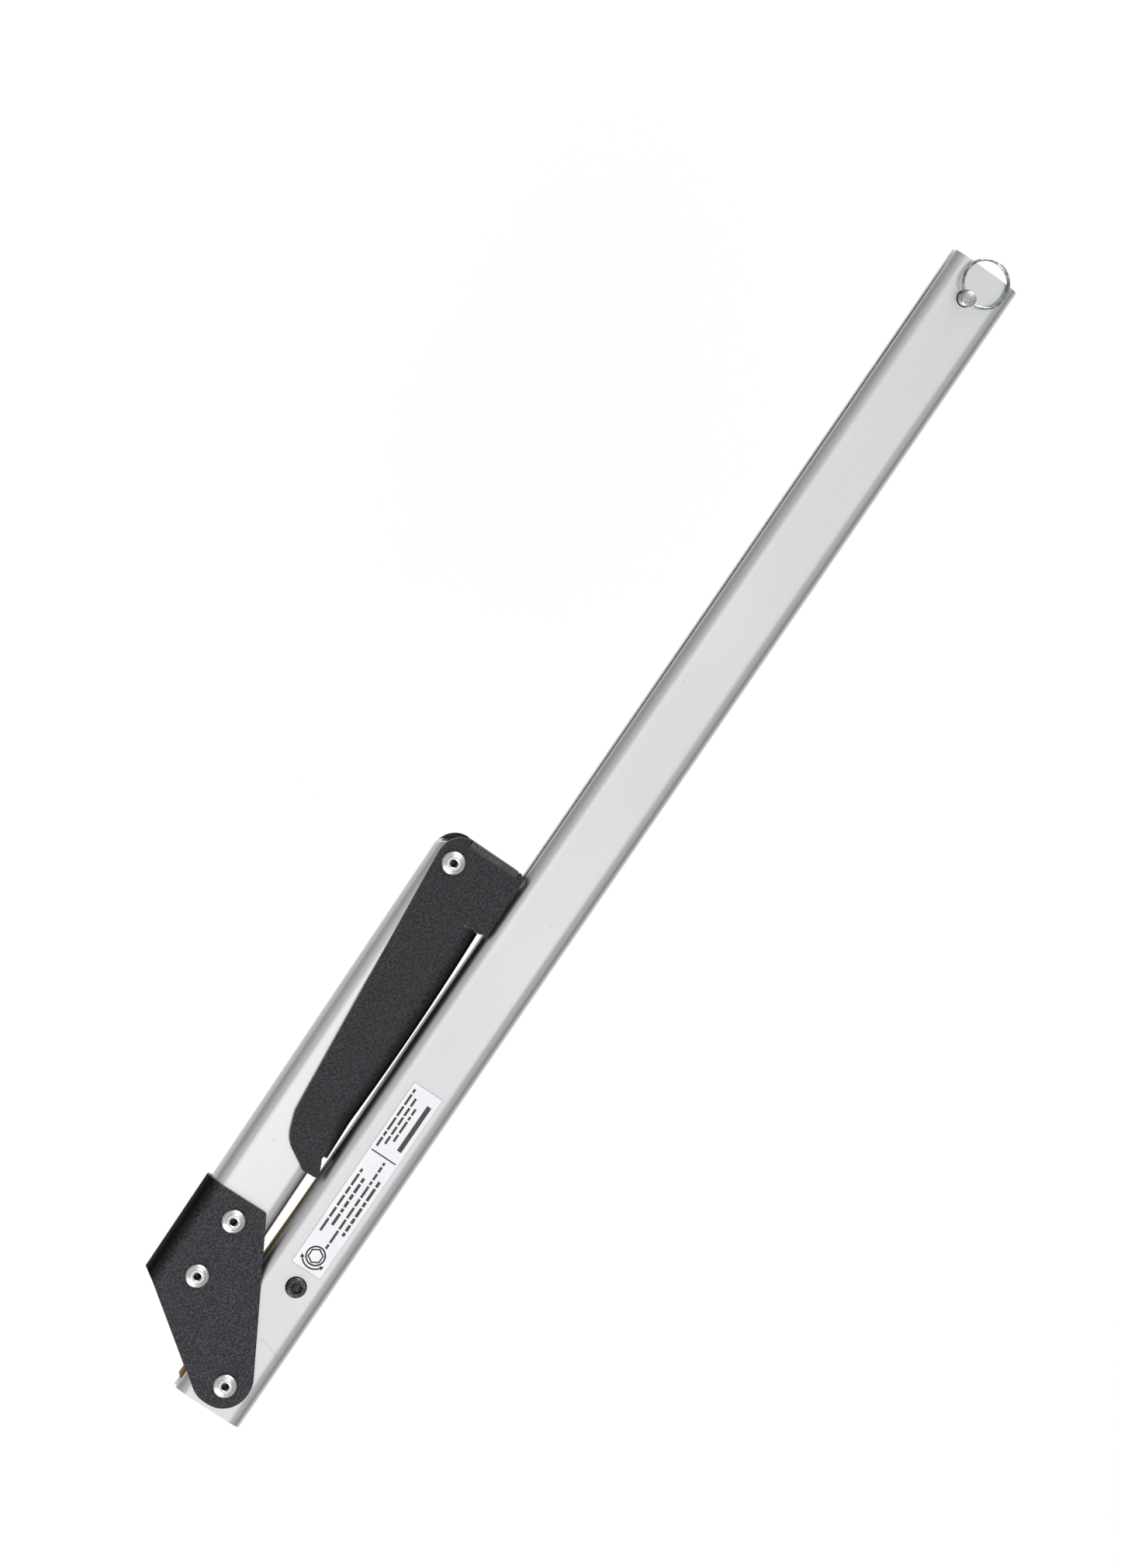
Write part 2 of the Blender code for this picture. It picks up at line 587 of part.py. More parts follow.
def main():
    clear_scene()
    aluminium = material("satin_aluminium", (0.72, 0.73, 0.73), 0.38, 1.0)
    black = material("black_powder_coat", (0.035, 0.033, 0.038), 0.6, 0.0)
    rivet_metal = material("rivet_aluminium", (0.85, 0.85, 0.86), 0.25, 1.0)
    stub_metal = material("mandrel_steel", (0.28, 0.24, 0.18), 0.5, 1.0)
    blade_metal = material("blade_steel", (0.55, 0.42, 0.22), 0.35, 1.0)
    pin_metal = material("pin_steel", (0.62, 0.61, 0.60), 0.4, 1.0)
    ring_metal = material("ring_zinc", (0.55, 0.60, 0.62), 0.2, 1.0)
    black_oxide = material("black_oxide_steel", (0.03, 0.03, 0.035), 0.35, 1.0)
    sleeve_metal = material("sleeve_steel", (0.6, 0.6, 0.6), 0.35, 1.0)
    label_film = material("label_film", (0.86, 0.87, 0.88), 0.45, 0.0)

    saw_frame = frame_empty("saw_frame", (0, 0, 0), 0.0, None)
    arm_frame = frame_empty("arm_frame", (0, 0, 0), ARM_TILT, saw_frame)
    lever_frame = frame_empty("lever_frame", (*LEVER_PIVOT, 0), 0.0, saw_frame)
    blade_frame = frame_empty("blade_frame", (*PIN_PLACE, 0), BLADE_TURN, saw_frame)
    pin_frame = frame_empty("pin_frame", (*PIN_PLACE, 0), 0.0, saw_frame)
    ring_turn = RING_HOLE_ANGLE - math.pi
    ring_frame = frame_empty("ring_frame", (0, 0, PIN_HOLE_Z), ring_turn, pin_frame)
    screw_frame = frame_empty("screw_frame", (*SCREW_PLACE, 0), 0.0, saw_frame)

    make_main_tube(saw_frame, aluminium)
    make_arm_tube(arm_frame, aluminium)
    make_bracket(arm_frame, black)
    make_lever(lever_frame, black)
    make_rivet("main_pivot_rivet", (0.0, 0.0), arm_frame, rivet_metal, stub_metal)
    for number, spot in enumerate(BRACKET_RIVETS, 1):
        make_rivet(f"bracket_rivet_{number}", spot, arm_frame, rivet_metal, stub_metal)
        make_spacer(f"bracket_spacer_{number}", spot, arm_frame, sleeve_metal)
    make_rivet("lever_pivot_rivet", pivot_in_arm(), arm_frame, rivet_metal, stub_metal)
    make_spacer("lever_pivot_spacer", pivot_in_arm(), arm_frame, sleeve_metal)
    make_blade(blade_frame, blade_metal)
    make_blade_pin(pin_frame, pin_metal)
    make_split_ring(ring_frame, ring_metal)
    make_set_screw(screw_frame, black_oxide)
    make_screw_nut(saw_frame, sleeve_metal)
    make_label(saw_frame, label_film)
    stand_on_base(saw_frame)


main()
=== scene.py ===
"""Looks of the folding camp saw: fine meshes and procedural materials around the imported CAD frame.

A mesh is drawn in millimetres about its own joint axis: X towards the ring end, Y towards the arm,
Z out of the face with the rivet heads. The frame's joints and boxes say where each piece goes.
"""

import json
import math

import bmesh
import bpy
from mathutils import Matrix, Vector


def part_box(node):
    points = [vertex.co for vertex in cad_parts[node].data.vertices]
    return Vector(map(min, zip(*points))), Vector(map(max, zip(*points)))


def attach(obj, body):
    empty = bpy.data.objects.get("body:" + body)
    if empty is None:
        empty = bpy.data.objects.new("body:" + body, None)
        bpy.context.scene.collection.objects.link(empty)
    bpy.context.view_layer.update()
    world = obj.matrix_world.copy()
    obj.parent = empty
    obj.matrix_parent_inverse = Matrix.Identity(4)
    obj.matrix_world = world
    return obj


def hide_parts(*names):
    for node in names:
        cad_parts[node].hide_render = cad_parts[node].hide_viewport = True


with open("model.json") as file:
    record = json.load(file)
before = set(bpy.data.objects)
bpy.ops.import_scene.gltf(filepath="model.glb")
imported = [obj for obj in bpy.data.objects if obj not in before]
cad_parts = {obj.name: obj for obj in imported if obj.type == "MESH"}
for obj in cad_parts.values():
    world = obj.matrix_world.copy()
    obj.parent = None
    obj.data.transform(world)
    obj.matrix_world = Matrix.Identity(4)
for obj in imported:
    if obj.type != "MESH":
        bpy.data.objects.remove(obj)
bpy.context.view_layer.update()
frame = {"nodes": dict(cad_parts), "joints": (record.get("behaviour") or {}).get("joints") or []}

MM = 0.001
JOINTS = {joint["name"]: Vector(joint["pos_m"]) for joint in frame["joints"]}

# Tubes
WALL = 1.5
SLOT_WIDTH = 4.8
SLOT_BREAK = 0.5
TUBE_LOW, TUBE_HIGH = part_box("main_tube")
TUBE_WIDTH = 2 * (JOINTS["frame_hinge"].y - TUBE_LOW.y) / MM
TUBE_THICKNESS = (TUBE_HIGH.z - TUBE_LOW.z) / MM
HALF = TUBE_THICKNESS / 2
STRAIGHT = TUBE_WIDTH / 2 - HALF
GAP = 0.3

# Arm frame, which turns about the main pivot
ARM_TILT = math.radians(0.63)
ARM_AXIS_Y = 34.05
ARM_SPAN = (21.8, 227.2)
ARM_TIP_RADIUS = 5.0
BRACKET_RIVETS = ((30.8, 33.9), (56.45, 34.0))

# Sheet parts: MID is the middle of a sheet's thickness
SHEET = 1.5
MID_Z = HALF + GAP + SHEET / 2
MID_BEND = MID_Z
TIP_BEND = 2.6 + SHEET / 2
BRACKET_SPINE_Y = ARM_AXIS_Y + TUBE_WIDTH / 2 + 0.4 + SHEET
BRACKET_ROUND = 11.2
BRACKET_END_X = 66.1
LEVER_SPAN = (-124.0, -17.6)
LEVER_SPINE_Y = -25.5
LEVER_BOW = 1.2
LEVER_TIP_X = 11.5
LEVER_FLANGE_Y = (-24.6, -1.5)
LEVER_EAR_Y = -27.2

# Rivets, pin, ring, screw and label
SHANK_RADIUS = 2.4
HEAD_RADIUS = 4.8
BORE_RADIUS = 1.5
HEAD_HEIGHT = 1.75
TAIL_RADIUS = 3.9
BASE_Z = -9.9
PIN_RADIUS = 3.1
PIN_PLAY = 0.45
PIN_HEAD_RADIUS = 4.75
PIN_TOP_Z = 13.0
PIN_HOLE_Z = 10.0
PIN_HOLE_RADIUS = 1.35
RING_RADIUS = 9.6
RING_WIRE = 0.52
RING_PITCH = 1.12
RING_TURNS = 1.86
RING_ANGLE = math.radians(72.0)
RING_DROOP = math.radians(7.0)
SCREW_RADIUS = 3.97
SCREW_TOP_Z = 8.7
SCREW_LENGTH = 7.95
SCREW_PITCH = 1.41
SCREW_DEPTH = 0.55
SOCKET_ACROSS = 4.0

# Blade, about its pin hole
BLADE_LENGTH = 533.5
BLADE_INSET = 8.0
BLADE_BACK_Y = 7.0
BLADE_TANG_WIDTH = 13.5
BLADE_BODY_WIDTH = 15.7
BLADE_THICKNESS = 0.8
BLADE_HOLE_RADIUS = 3.45
TOOTH_PITCH = 6.0
TOOTH_DEPTH = 5.0
TOOTH_START = 60.0
TOOTH_SET = 0.28

# Finish and floor
LATHE_RING = 0.22
FLOOR_Z = -0.3

# Places in the arm's, the pin's and the screw's own frames
SAW = Matrix.Translation(JOINTS["frame_hinge"])
ARM = SAW @ Matrix.Rotation(ARM_TILT, 4, "Z")
LEVER = Matrix.Translation(JOINTS["lever_swing"])
PIN = Matrix.Translation(JOINTS["pin_turn"])
BLADE = PIN @ Matrix.Rotation(math.radians(-0.89), 4, "Z")
RING = Matrix.Translation(JOINTS["ring_swing"]) @ Matrix.Rotation(RING_ANGLE - math.pi, 4, "Z")
SCREW = Matrix.Translation(JOINTS["screw_turn"])
ROUND = 64


def in_frame(matrix, joint):
    """A joint's place in millimetres in another frame's own X and Y."""
    spot = matrix.inverted() @ JOINTS[joint] / MM
    return spot.x, spot.y


# ---------------------------------------------------------------- materials


class Finish:
    """A Principled material and the nodes that vary it over an object's own space."""

    def __init__(self, name, colour, roughness, metallic):
        self.made = bpy.data.materials.new(name)
        self.made.use_nodes = True
        self.tree = self.made.node_tree
        self.shader = self.tree.nodes["Principled BSDF"]
        self.shader.inputs["Base Color"].default_value = (*colour, 1.0)
        self.shader.inputs["Roughness"].default_value = roughness
        self.shader.inputs["Metallic"].default_value = metallic
        coordinates = self.tree.nodes.new("ShaderNodeTexCoord")
        self.space = coordinates.outputs["Object"]
        self.facing = coordinates.outputs["Normal"]

    def link(self, source, target):
        self.tree.links.new(source, target)

    def noise(self, size, stretch=(1, 1, 1), detail=3.0, seed=0.0):
        """Cloudy values whose patches are about size millimetres across, longer where stretch is above 1."""
        mapping = self.tree.nodes.new("ShaderNodeMapping")
        mapping.inputs["Scale"].default_value = [1 / (size * MM * s) for s in stretch]
        mapping.inputs["Location"].default_value = (seed, seed * 1.7, seed * 0.6)
        self.link(self.space, mapping.inputs["Vector"])
        cloud = self.tree.nodes.new("ShaderNodeTexNoise")
        cloud.inputs["Scale"].default_value = 1.0
        cloud.inputs["Detail"].default_value = detail
        self.link(mapping.outputs["Vector"], cloud.inputs["Vector"])
        return cloud.outputs["Fac"]

    def specks(self, size, share, seed=0.0):
        """1 inside scattered dots of about size millimetres, which cover a small share of the cells."""
        mapping = self.tree.nodes.new("ShaderNodeMapping")
        mapping.inputs["Scale"].default_value = [1 / (size * MM)] * 3
        mapping.inputs["Location"].default_value = (seed, seed, seed)
        self.link(self.space, mapping.inputs["Vector"])
        cells = self.tree.nodes.new("ShaderNodeTexVoronoi")
        cells.inputs["Scale"].default_value = 1.0
        self.link(mapping.outputs["Vector"], cells.inputs["Vector"])
        return self.band(cells.outputs["Distance"], share, 0.0)

    def band(self, source, start, end, low=0.0, high=1.0):
        """source taken from start..end to low..high, and held outside it."""
        ranged = self.tree.nodes.new("ShaderNodeMapRange")
        ranged.inputs["From Min"].default_value = start
        ranged.inputs["From Max"].default_value = end
        ranged.inputs["To Min"].default_value = low
        ranged.inputs["To Max"].default_value = high
        self.link(source, ranged.inputs["Value"])
        return ranged.outputs["Result"]

    def maths(self, operation, first, second=None):
        node = self.tree.nodes.new("ShaderNodeMath")
        node.operation = operation
        for socket, value in zip(node.inputs, (first, second)):
            if isinstance(value, (int, float)):
                socket.default_value = value
            elif value is not None:
                self.link(value, socket)
        return node.outputs["Value"]

    def from_axis(self, centre=(0.0, 0.0)):
        """Distance in millimetres from the line through centre along Z."""
        parts = self.tree.nodes.new("ShaderNodeSeparateXYZ")
        self.link(self.space, parts.inputs["Vector"])
        squares = []
        for axis, middle in zip("XY", centre):
            offset = self.maths("SUBTRACT", parts.outputs[axis], middle * MM)
            squares.append(self.maths("MULTIPLY", offset, offset))
        return self.maths("DIVIDE", self.maths("SQRT", self.maths("ADD", *squares)), MM)

    def along(self, axis):
        """The object's own coordinate in millimetres."""
        parts = self.tree.nodes.new("ShaderNodeSeparateXYZ")
        self.link(self.space, parts.inputs["Vector"])
        return self.maths("DIVIDE", parts.outputs[axis], MM)

    def faces(self, axis):
        """How far the surface faces along one of the object's own axes, from -1 to 1."""
        parts = self.tree.nodes.new("ShaderNodeSeparateXYZ")
        self.link(self.facing, parts.inputs["Vector"])
        return parts.outputs[axis]

    def colours(self, source, first, second):
        mix = self.tree.nodes.new("ShaderNodeMix")
        mix.data_type = "RGBA"
        for socket, colour in (("A_Color", first), ("B_Color", second)):
            target = next(s for s in mix.inputs if s.identifier == socket)
            if isinstance(colour, tuple):
                target.default_value = (*colour, 1.0)
            else:
                self.link(colour, target)
        self.link(source, mix.inputs["Factor"])
        return next(s for s in mix.outputs if s.identifier == "Result_Color")

    def bump(self, source, height, previous=None):
        """Raises the surface by up to height millimetres where source is high."""
        node = self.tree.nodes.new("ShaderNodeBump")
        node.inputs["Distance"].default_value = height * MM
        self.link(source, node.inputs["Height"])
        if previous:
            self.link(previous, node.inputs["Normal"])
        return node.outputs["Normal"]

    def set(self, **sources):
        names = {"colour": "Base Color", "roughness": "Roughness", "normal": "Normal"}
        for key, source in sources.items():
            self.link(source, self.shader.inputs[names[key]])
        return self.made


def drawn_aluminium(name, rubbed=False, tone=1.0):
    """Satin extrusion: fine die lines along X, a soft cloud, a few handling specks, and painted shade on the
    rounded long edges that face along -Y and +Y.
    """
    finish = Finish(name, (0.8, 0.8, 0.8), 0.35, 1.0)
    lines = finish.noise(0.5, (160, 1, 1), 4.0)
    cloud = finish.noise(34, (2.5, 1, 1), 2.0, seed=3.0)
    pale = (0.89 * tone, 0.895 * tone, 0.9 * tone)
    colour = finish.colours(finish.band(lines, 0.3, 0.7), (0.83 * tone, 0.835 * tone, 0.84 * tone), pale)
    colour = finish.colours(finish.band(cloud, 0.35, 0.7), colour, (0.84 * tone, 0.85 * tone, 0.865 * tone))
    # Painted shade: where the surface faces along -Y or +Y (the rounded long edges), the colour is pulled
    # towards dark grey in place of the dim reflection those sides catch.
    side = finish.faces("Y")
    under = finish.maths("MAXIMUM", finish.band(side, -0.42, -0.62), finish.band(side, 0.5, 0.88))
    colour = finish.colours(under, colour, (0.49, 0.485, 0.485))
    dots = finish.specks(6.0, 0.05, seed=11.0)
    colour = finish.colours(dots, colour, (0.3, 0.29, 0.27))
    rough = finish.band(finish.maths("ADD", lines, cloud), 0.7, 1.3, 0.27, 0.36)
    if rubbed:
        pivot = finish.from_axis()
        stray = finish.maths("MULTIPLY", finish.noise(5.0, (1, 1, 1), 2.0), 0.7)
        ring = finish.maths("ABSOLUTE", finish.maths("SUBTRACT", finish.maths("ADD", pivot, stray), 23.4))
        lower_half = finish.band(finish.along("Y"), 0.0, -2.0)
        mark = finish.maths("MULTIPLY", finish.band(ring, 0.35, 0.05), lower_half)
        mark = finish.maths("MULTIPLY", mark, 0.5)
        colour = finish.colours(mark, colour, (0.55, 0.56, 0.58))
    normal = finish.bump(lines, 0.004)
    return finish.set(colour=colour, roughness=rough, normal=normal)


def powder_coat(name, tone=1.0):
    """Fine charcoal texture with a slightly purple cast and pale dust-like points, with painted shade and
    less sheen where the sheet faces along Y at its folds.
    """
    finish = Finish(name, (0.02, 0.019, 0.022), 0.55, 0.0)
    grain = finish.noise(0.8, detail=3.0)
    patch = finish.noise(6.0, detail=3.0, seed=5.0)
    pale = tuple(shade * tone for shade in (0.056, 0.05, 0.062))
    colour = finish.colours(finish.band(grain, 0.4, 0.64), (0.002, 0.0018, 0.0026), pale)
    colour = finish.colours(finish.band(patch, 0.4, 0.75, 0.0, 0.4), colour, (0.014, 0.013, 0.0155))
    # Painted shade: where the sheet faces along Y, at its folds, the colour is darkened almost to black and
    # the specular level is turned down.
    bend = finish.band(finish.maths("ABSOLUTE", finish.faces("Y")), 0.25, 0.8)
    colour = finish.colours(bend, colour, (0.0016, 0.0012, 0.001))
    rough = finish.band(patch, 0.3, 0.7, 0.46, 0.6)
    normal = finish.bump(grain, 0.06)
    finish.link(finish.band(bend, 0.0, 1.0, 0.42, 0.06), finish.shader.inputs["Specular IOR Level"])
    return finish.set(colour=colour, roughness=rough, normal=normal)


def sheared_edge(name):
    """The sheet's cut edge, where the coat is thin and the steel shows brown."""
    finish = Finish(name, (0.1, 0.08, 0.06), 0.5, 0.4)
    grain = finish.noise(0.4, (1, 1, 3), 3.0, seed=2.0)
    patch = finish.noise(7.0, detail=3.0, seed=8.0)
    worn = finish.maths("MULTIPLY", finish.band(grain, 0.4, 0.6), finish.band(patch, 0.38, 0.62))
    colour = finish.colours(worn, (0.03, 0.027, 0.028), (0.16, 0.12, 0.085))
    normal = finish.bump(grain, 0.04)
    return finish.set(colour=colour, normal=normal)


def turned_metal(name, pale, dark, rough):
    """Metal with fine rings about its own axis and a slight tarnish."""
    finish = Finish(name, pale, rough, 1.0)
    radius = finish.from_axis()
    wobble = finish.maths("MULTIPLY", finish.noise(2.0, detail=2.0), 0.3)
    phase = finish.maths("MULTIPLY", finish.maths("ADD", radius, wobble), math.tau / LATHE_RING)
    rings = finish.maths("SINE", phase)
    grain = finish.noise(0.6, detail=4.0, seed=4.0)
    colour = finish.colours(finish.band(grain, 0.35, 0.7), dark, pale)
    normal = finish.bump(rings, 0.003)
    normal = finish.bump(grain, 0.004, normal)
    roughness = finish.band(grain, 0.3, 0.7, rough * 0.85, rough * 1.2)
    return finish.set(colour=colour, roughness=roughness, normal=normal)


def broken_steel(name):
    """The torn mandrel stub: dark brown, grainy, with a little rust."""
    finish = Finish(name, (0.08, 0.06, 0.045), 0.6, 0.7)
    grain = finish.noise(0.35, detail=4.0)
    colour = finish.colours(finish.band(grain, 0.35, 0.65), (0.03, 0.024, 0.02), (0.17, 0.115, 0.07))
    return finish.set(colour=colour, normal=finish.bump(grain, 0.12))


def golden_blade(name):
    """Spring steel under a golden lacquer, darker where the teeth are hardened."""
    finish = Finish(name, (0.5, 0.36, 0.16), 0.36, 1.0)
    lines = finish.noise(0.35, (60, 1, 1), 4.0)
    cloud = finish.noise(9.0, (3, 1, 1), 3.0, seed=6.0)
    colour = finish.colours(finish.band(lines, 0.3, 0.7), (0.20, 0.14, 0.05), (0.36, 0.27, 0.12))
    colour = finish.colours(finish.band(cloud, 0.4, 0.75, 0.0, 0.6), colour, (0.16, 0.11, 0.045))
    teeth = finish.band(finish.along("Y"), -9.2, -11.5)
    colour = finish.colours(teeth, colour, (0.12, 0.13, 0.17))
    rough = finish.band(cloud, 0.3, 0.7, 0.3, 0.44)
    return finish.set(colour=colour, roughness=rough, normal=finish.bump(lines, 0.006))


def zinc_wire(name):
    """Bright zinc with a cold, slightly green cast in the hollows."""
    finish = Finish(name, (0.6, 0.65, 0.67), 0.2, 1.0)
    cloud = finish.noise(2.4, detail=3.0)
    colour = finish.colours(finish.band(cloud, 0.35, 0.65), (0.16, 0.18, 0.175), (0.62, 0.66, 0.67))
    fine = finish.noise(0.3, detail=3.0, seed=2.0)
    rough = finish.band(fine, 0.3, 0.7, 0.16, 0.3)
    return finish.set(colour=colour, roughness=rough, normal=finish.bump(fine, 0.01))


def oxide_steel(name):
    """Black oxide with an oily sheen and grey where the key has polished it."""
    finish = Finish(name, (0.05, 0.05, 0.055), 0.3, 0.9)
    grain = finish.noise(0.7, detail=4.0)
    colour = finish.colours(finish.band(grain, 0.4, 0.75), (0.045, 0.045, 0.048), (0.2, 0.2, 0.205))
    rough = finish.band(grain, 0.3, 0.7, 0.22, 0.4)
    return finish.set(colour=colour, roughness=rough, normal=finish.bump(grain, 0.01))


def printed_film(name):
    """Off-white label film with a faint tooth."""
    finish = Finish(name, (0.85, 0.86, 0.88), 0.45, 0.0)
    tooth = finish.noise(0.4, detail=2.0)
    cloud = finish.noise(12.0, detail=2.0, seed=7.0)
    colour = finish.colours(finish.band(cloud, 0.35, 0.7), (0.76, 0.775, 0.8), (0.82, 0.83, 0.845))
    return finish.set(colour=colour, normal=finish.bump(tooth, 0.006))


def print_ink(name, pale, dark):
    """Ink laid on film, a little uneven."""
    finish = Finish(name, dark, 0.5, 0.0)
    patch = finish.noise(0.5, detail=3.0)
    colour = finish.colours(finish.band(patch, 0.45, 0.8), dark, pale)
    return finish.set(colour=colour, roughness=finish.band(patch, 0.3, 0.7, 0.42, 0.56))


def floor_paper(name):
    finish = Finish(name, (0.9, 0.9, 0.9), 0.9, 0.0)
    cloud = finish.noise(300, detail=1.0)
    colour = finish.colours(finish.band(cloud, 0.2, 0.8), (0.88, 0.88, 0.88), (0.9, 0.9, 0.9))
    return finish.set(colour=colour)


# ---------------------------------------------------------------- mesh tools


def arc(centre, radius, start, end, steps):
    """Points on an arc, with angles in degrees."""
    angles = [math.radians(start + (end - start) * i / steps) for i in range(steps + 1)]
    return [(centre[0] + radius * math.cos(a), centre[1] + radius * math.sin(a)) for a in angles]


def rounded(corners, degrees_per_step=6.0):
    """A closed outline of (x, y, radius) corners, each turned on an arc that meets both its sides."""
    outline = []
    count = len(corners)
    for index, (x, y, radius) in enumerate(corners):
        here = Vector((x, y))
        if radius == 0:
            outline.append((x, y))
            continue
        back = (Vector(corners[index - 1][:2]) - here).normalized()
        ahead = (Vector(corners[(index + 1) % count][:2]) - here).normalized()
        half = back.angle(ahead) / 2
        centre = here + (back + ahead).normalized() * (radius / math.sin(half))
        reach = radius / math.tan(half)
        first = here + back * reach - centre
        turn = first.angle_signed(here + ahead * reach - centre)
        steps = max(2, round(abs(math.degrees(turn)) / degrees_per_step))
        for step in range(steps + 1):
            spun = Matrix.Rotation(-turn * step / steps, 2) @ first
            outline.append(tuple(centre + spun))
    return outline


def loft(rings):
    """A closed body through rings of points that all have the same count."""
    body = bmesh.new()
    rows = [[body.verts.new(point) for point in ring] for ring in rings]
    for row, following in zip(rows, rows[1:]):
        for i in range(len(row)):
            j = (i + 1) % len(row)
            body.faces.new((row[i], row[j], following[j], following[i]))
    body.faces.new(rows[0])
    body.faces.new(list(reversed(rows[-1])))
    return body


def prism(outline, low, high):
    return loft([[(x, y, z) for x, y in outline] for z in (low, high)])


def turned(profile, steps=ROUND):
    """A body turned about Z from (radius, z) points, or a closed sleeve if they never touch the axis."""
    sleeve = profile[0][0] > 0 and profile[-1][0] > 0
    body = bmesh.new()
    rows = []
    for radius, z in profile:
        if radius == 0:
            rows.append([body.verts.new((0, 0, z))])
            continue
        turns = [math.tau * i / steps for i in range(steps)]
        rows.append([body.verts.new((radius * math.cos(a), radius * math.sin(a), z)) for a in turns])
    for row, following in zip(rows, rows[1:] + (rows[:1] if sleeve else [])):
        for i in range(steps):
            j = (i + 1) % steps
            corners = [row[i % len(row)], row[j % len(row)]]
            corners += [following[j % len(following)], following[i % len(following)]]
            body.faces.new(list(dict.fromkeys(corners)))
    return body


def hole(x, y, radius, low, high, steps=48):
    return prism(arc((x, y), radius, 0, 360 - 360 / steps, steps - 1), low, high)


def flared_hole(x, y, radius, surface, flare):
    """A round cutter through the near wall that also takes the hole's rim off at 45 degrees."""
    top = surface + flare * 0.5
    wide = radius + flare
    profile = [(0, 0), (radius, 0), (radius, top - flare), (wide, top), (wide, top + 5), (0, top + 5)]
    return moved(turned(profile), x, y)


def moved(body, x=0.0, y=0.0, z=0.0):
    bmesh.ops.translate(body, vec=(x, y, z), verts=body.verts)
    return body


def new_object(name, body, matrix, finishes):
    """A scene object from a bmesh in millimetres. matrix holds its axis and place in metres."""
    mesh = bpy.data.meshes.new(name)
    bmesh.ops.recalc_face_normals(body, faces=body.faces)
    bmesh.ops.scale(body, vec=(MM, MM, MM), verts=body.verts)
    body.to_mesh(mesh)
    body.free()
    made = bpy.data.objects.new(name, mesh)
    bpy.context.collection.objects.link(made)
    made.matrix_world = matrix
    for finish in finishes:
        mesh.materials.append(finish)
    return made


def settle(made):
    """Applies the object's modifiers for good."""
    bpy.context.view_layer.update()
    graph = bpy.context.evaluated_depsgraph_get()
    made.data = bpy.data.meshes.new_from_object(made.evaluated_get(graph))
    made.modifiers.clear()


def carve(made, *bodies):
    """Cuts bodies, drawn in the object's own millimetres, out of its mesh."""
    cutters = [new_object("cutter", body, made.matrix_world.copy(), ()) for body in bodies]
    for cutter in cutters:
        step = made.modifiers.new("carve", "BOOLEAN")
        step.operation = "DIFFERENCE"
        step.solver = "EXACT"
        step.object = cutter
    settle(made)
    for cutter in cutters:
        bpy.data.objects.remove(cutter, do_unlink=True)


def soften(made, width=0.0, angle=35.0, segments=2):
    """Shades the piece smooth, with its sharp edges rounded by width millimetres."""
    made.data.shade_smooth()
    if width:
        edges = made.modifiers.new("soften", "BEVEL")
        edges.width = width * MM
        edges.segments = segments
        edges.limit_method = "ANGLE"
        edges.angle_limit = math.radians(angle)
        edges.use_clamp_overlap = True
        edges.harden_normals = False
        weights = made.modifiers.new("weights", "WEIGHTED_NORMAL")
        weights.keep_sharp = True
    else:
        made.data.set_sharp_from_angle(angle=math.radians(angle))
    settle(made)


def mount(made, body, slot, *nodes):
    """Puts the piece on its body, in place of its CAD nodes."""
    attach(made, body)
    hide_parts(*nodes)
    return made


# ---------------------------------------------------------------- tubes


def blend_curve(first, corner, last, steps=4):
    """Points from first to last on a curve drawn towards corner."""
    points = []
    for step in range(steps + 1):
        t = step / steps
        spot = [a * (1 - t) ** 2 + 2 * b * t * (1 - t) + c * t ** 2
                for a, b, c in zip(first, corner, last)]
        points.append(tuple(spot))
    return points


def wall_section():
    """The slotted flat oval as (y, z), slot at +Y, round the outside and back inside."""
    quarter = 16
    flats = 14
    outer = HALF
    inner = HALF - WALL
    slot = SLOT_WIDTH / 2
    start = math.degrees(math.asin((slot + SLOT_BREAK) / outer))
    inside_start = math.degrees(math.asin((slot + 0.2) / inner))
    outer_lip_y = STRAIGHT + math.sqrt(outer ** 2 - slot ** 2)
    lip_y = STRAIGHT + math.sqrt(outer ** 2 - (slot + SLOT_BREAK) ** 2) - SLOT_BREAK
    inner_lip_y = STRAIGHT + math.sqrt(inner ** 2 - slot ** 2)

    def run(radius, first, steps):
        near = arc((STRAIGHT, 0), radius, first, 90, steps)
        flat = [(STRAIGHT * (1 - 2 * i / flats), radius) for i in range(1, flats)]
        back = arc((-STRAIGHT, 0), radius, 90, 180, steps)
        half = near + flat + back
        return half + [(y, -z) for y, z in reversed(half[:-1])]

    outside = run(outer, start, quarter)
    inside = run(inner, inside_start, quarter)
    outer_edge = (STRAIGHT + math.sqrt(outer ** 2 - (slot + SLOT_BREAK) ** 2), -slot - SLOT_BREAK)
    inner_edge = inside[-1]
    lip = blend_curve(outer_edge, (outer_lip_y, -slot), (lip_y, -slot))[1:]
    lip += blend_curve((inner_lip_y + 0.25, -slot), (inner_lip_y, -slot), inner_edge, 2)[:-1]
    other = [(y, -z) for y, z in reversed(lip)]
    return outside + lip + list(reversed(inside)) + other


def shrunk(section, inset):
    """The same closed section with each point moved into the wall by inset."""
    count = len(section)
    points = []
    for index, (y, z) in enumerate(section):
        before = Vector(section[index - 1])
        after = Vector(section[(index + 1) % count])
        run = (after - before).normalized()
        points.append((y - run.y * inset, z + run.x * inset))
    return points


def oval_section(radius):
    """The closed flat oval as (y, z), at the given distance from the line between its end centres."""
    near = arc((STRAIGHT, 0), radius, -90, 90, 32)
    return near + arc((-STRAIGHT, 0), radius, 90, 270, 32)


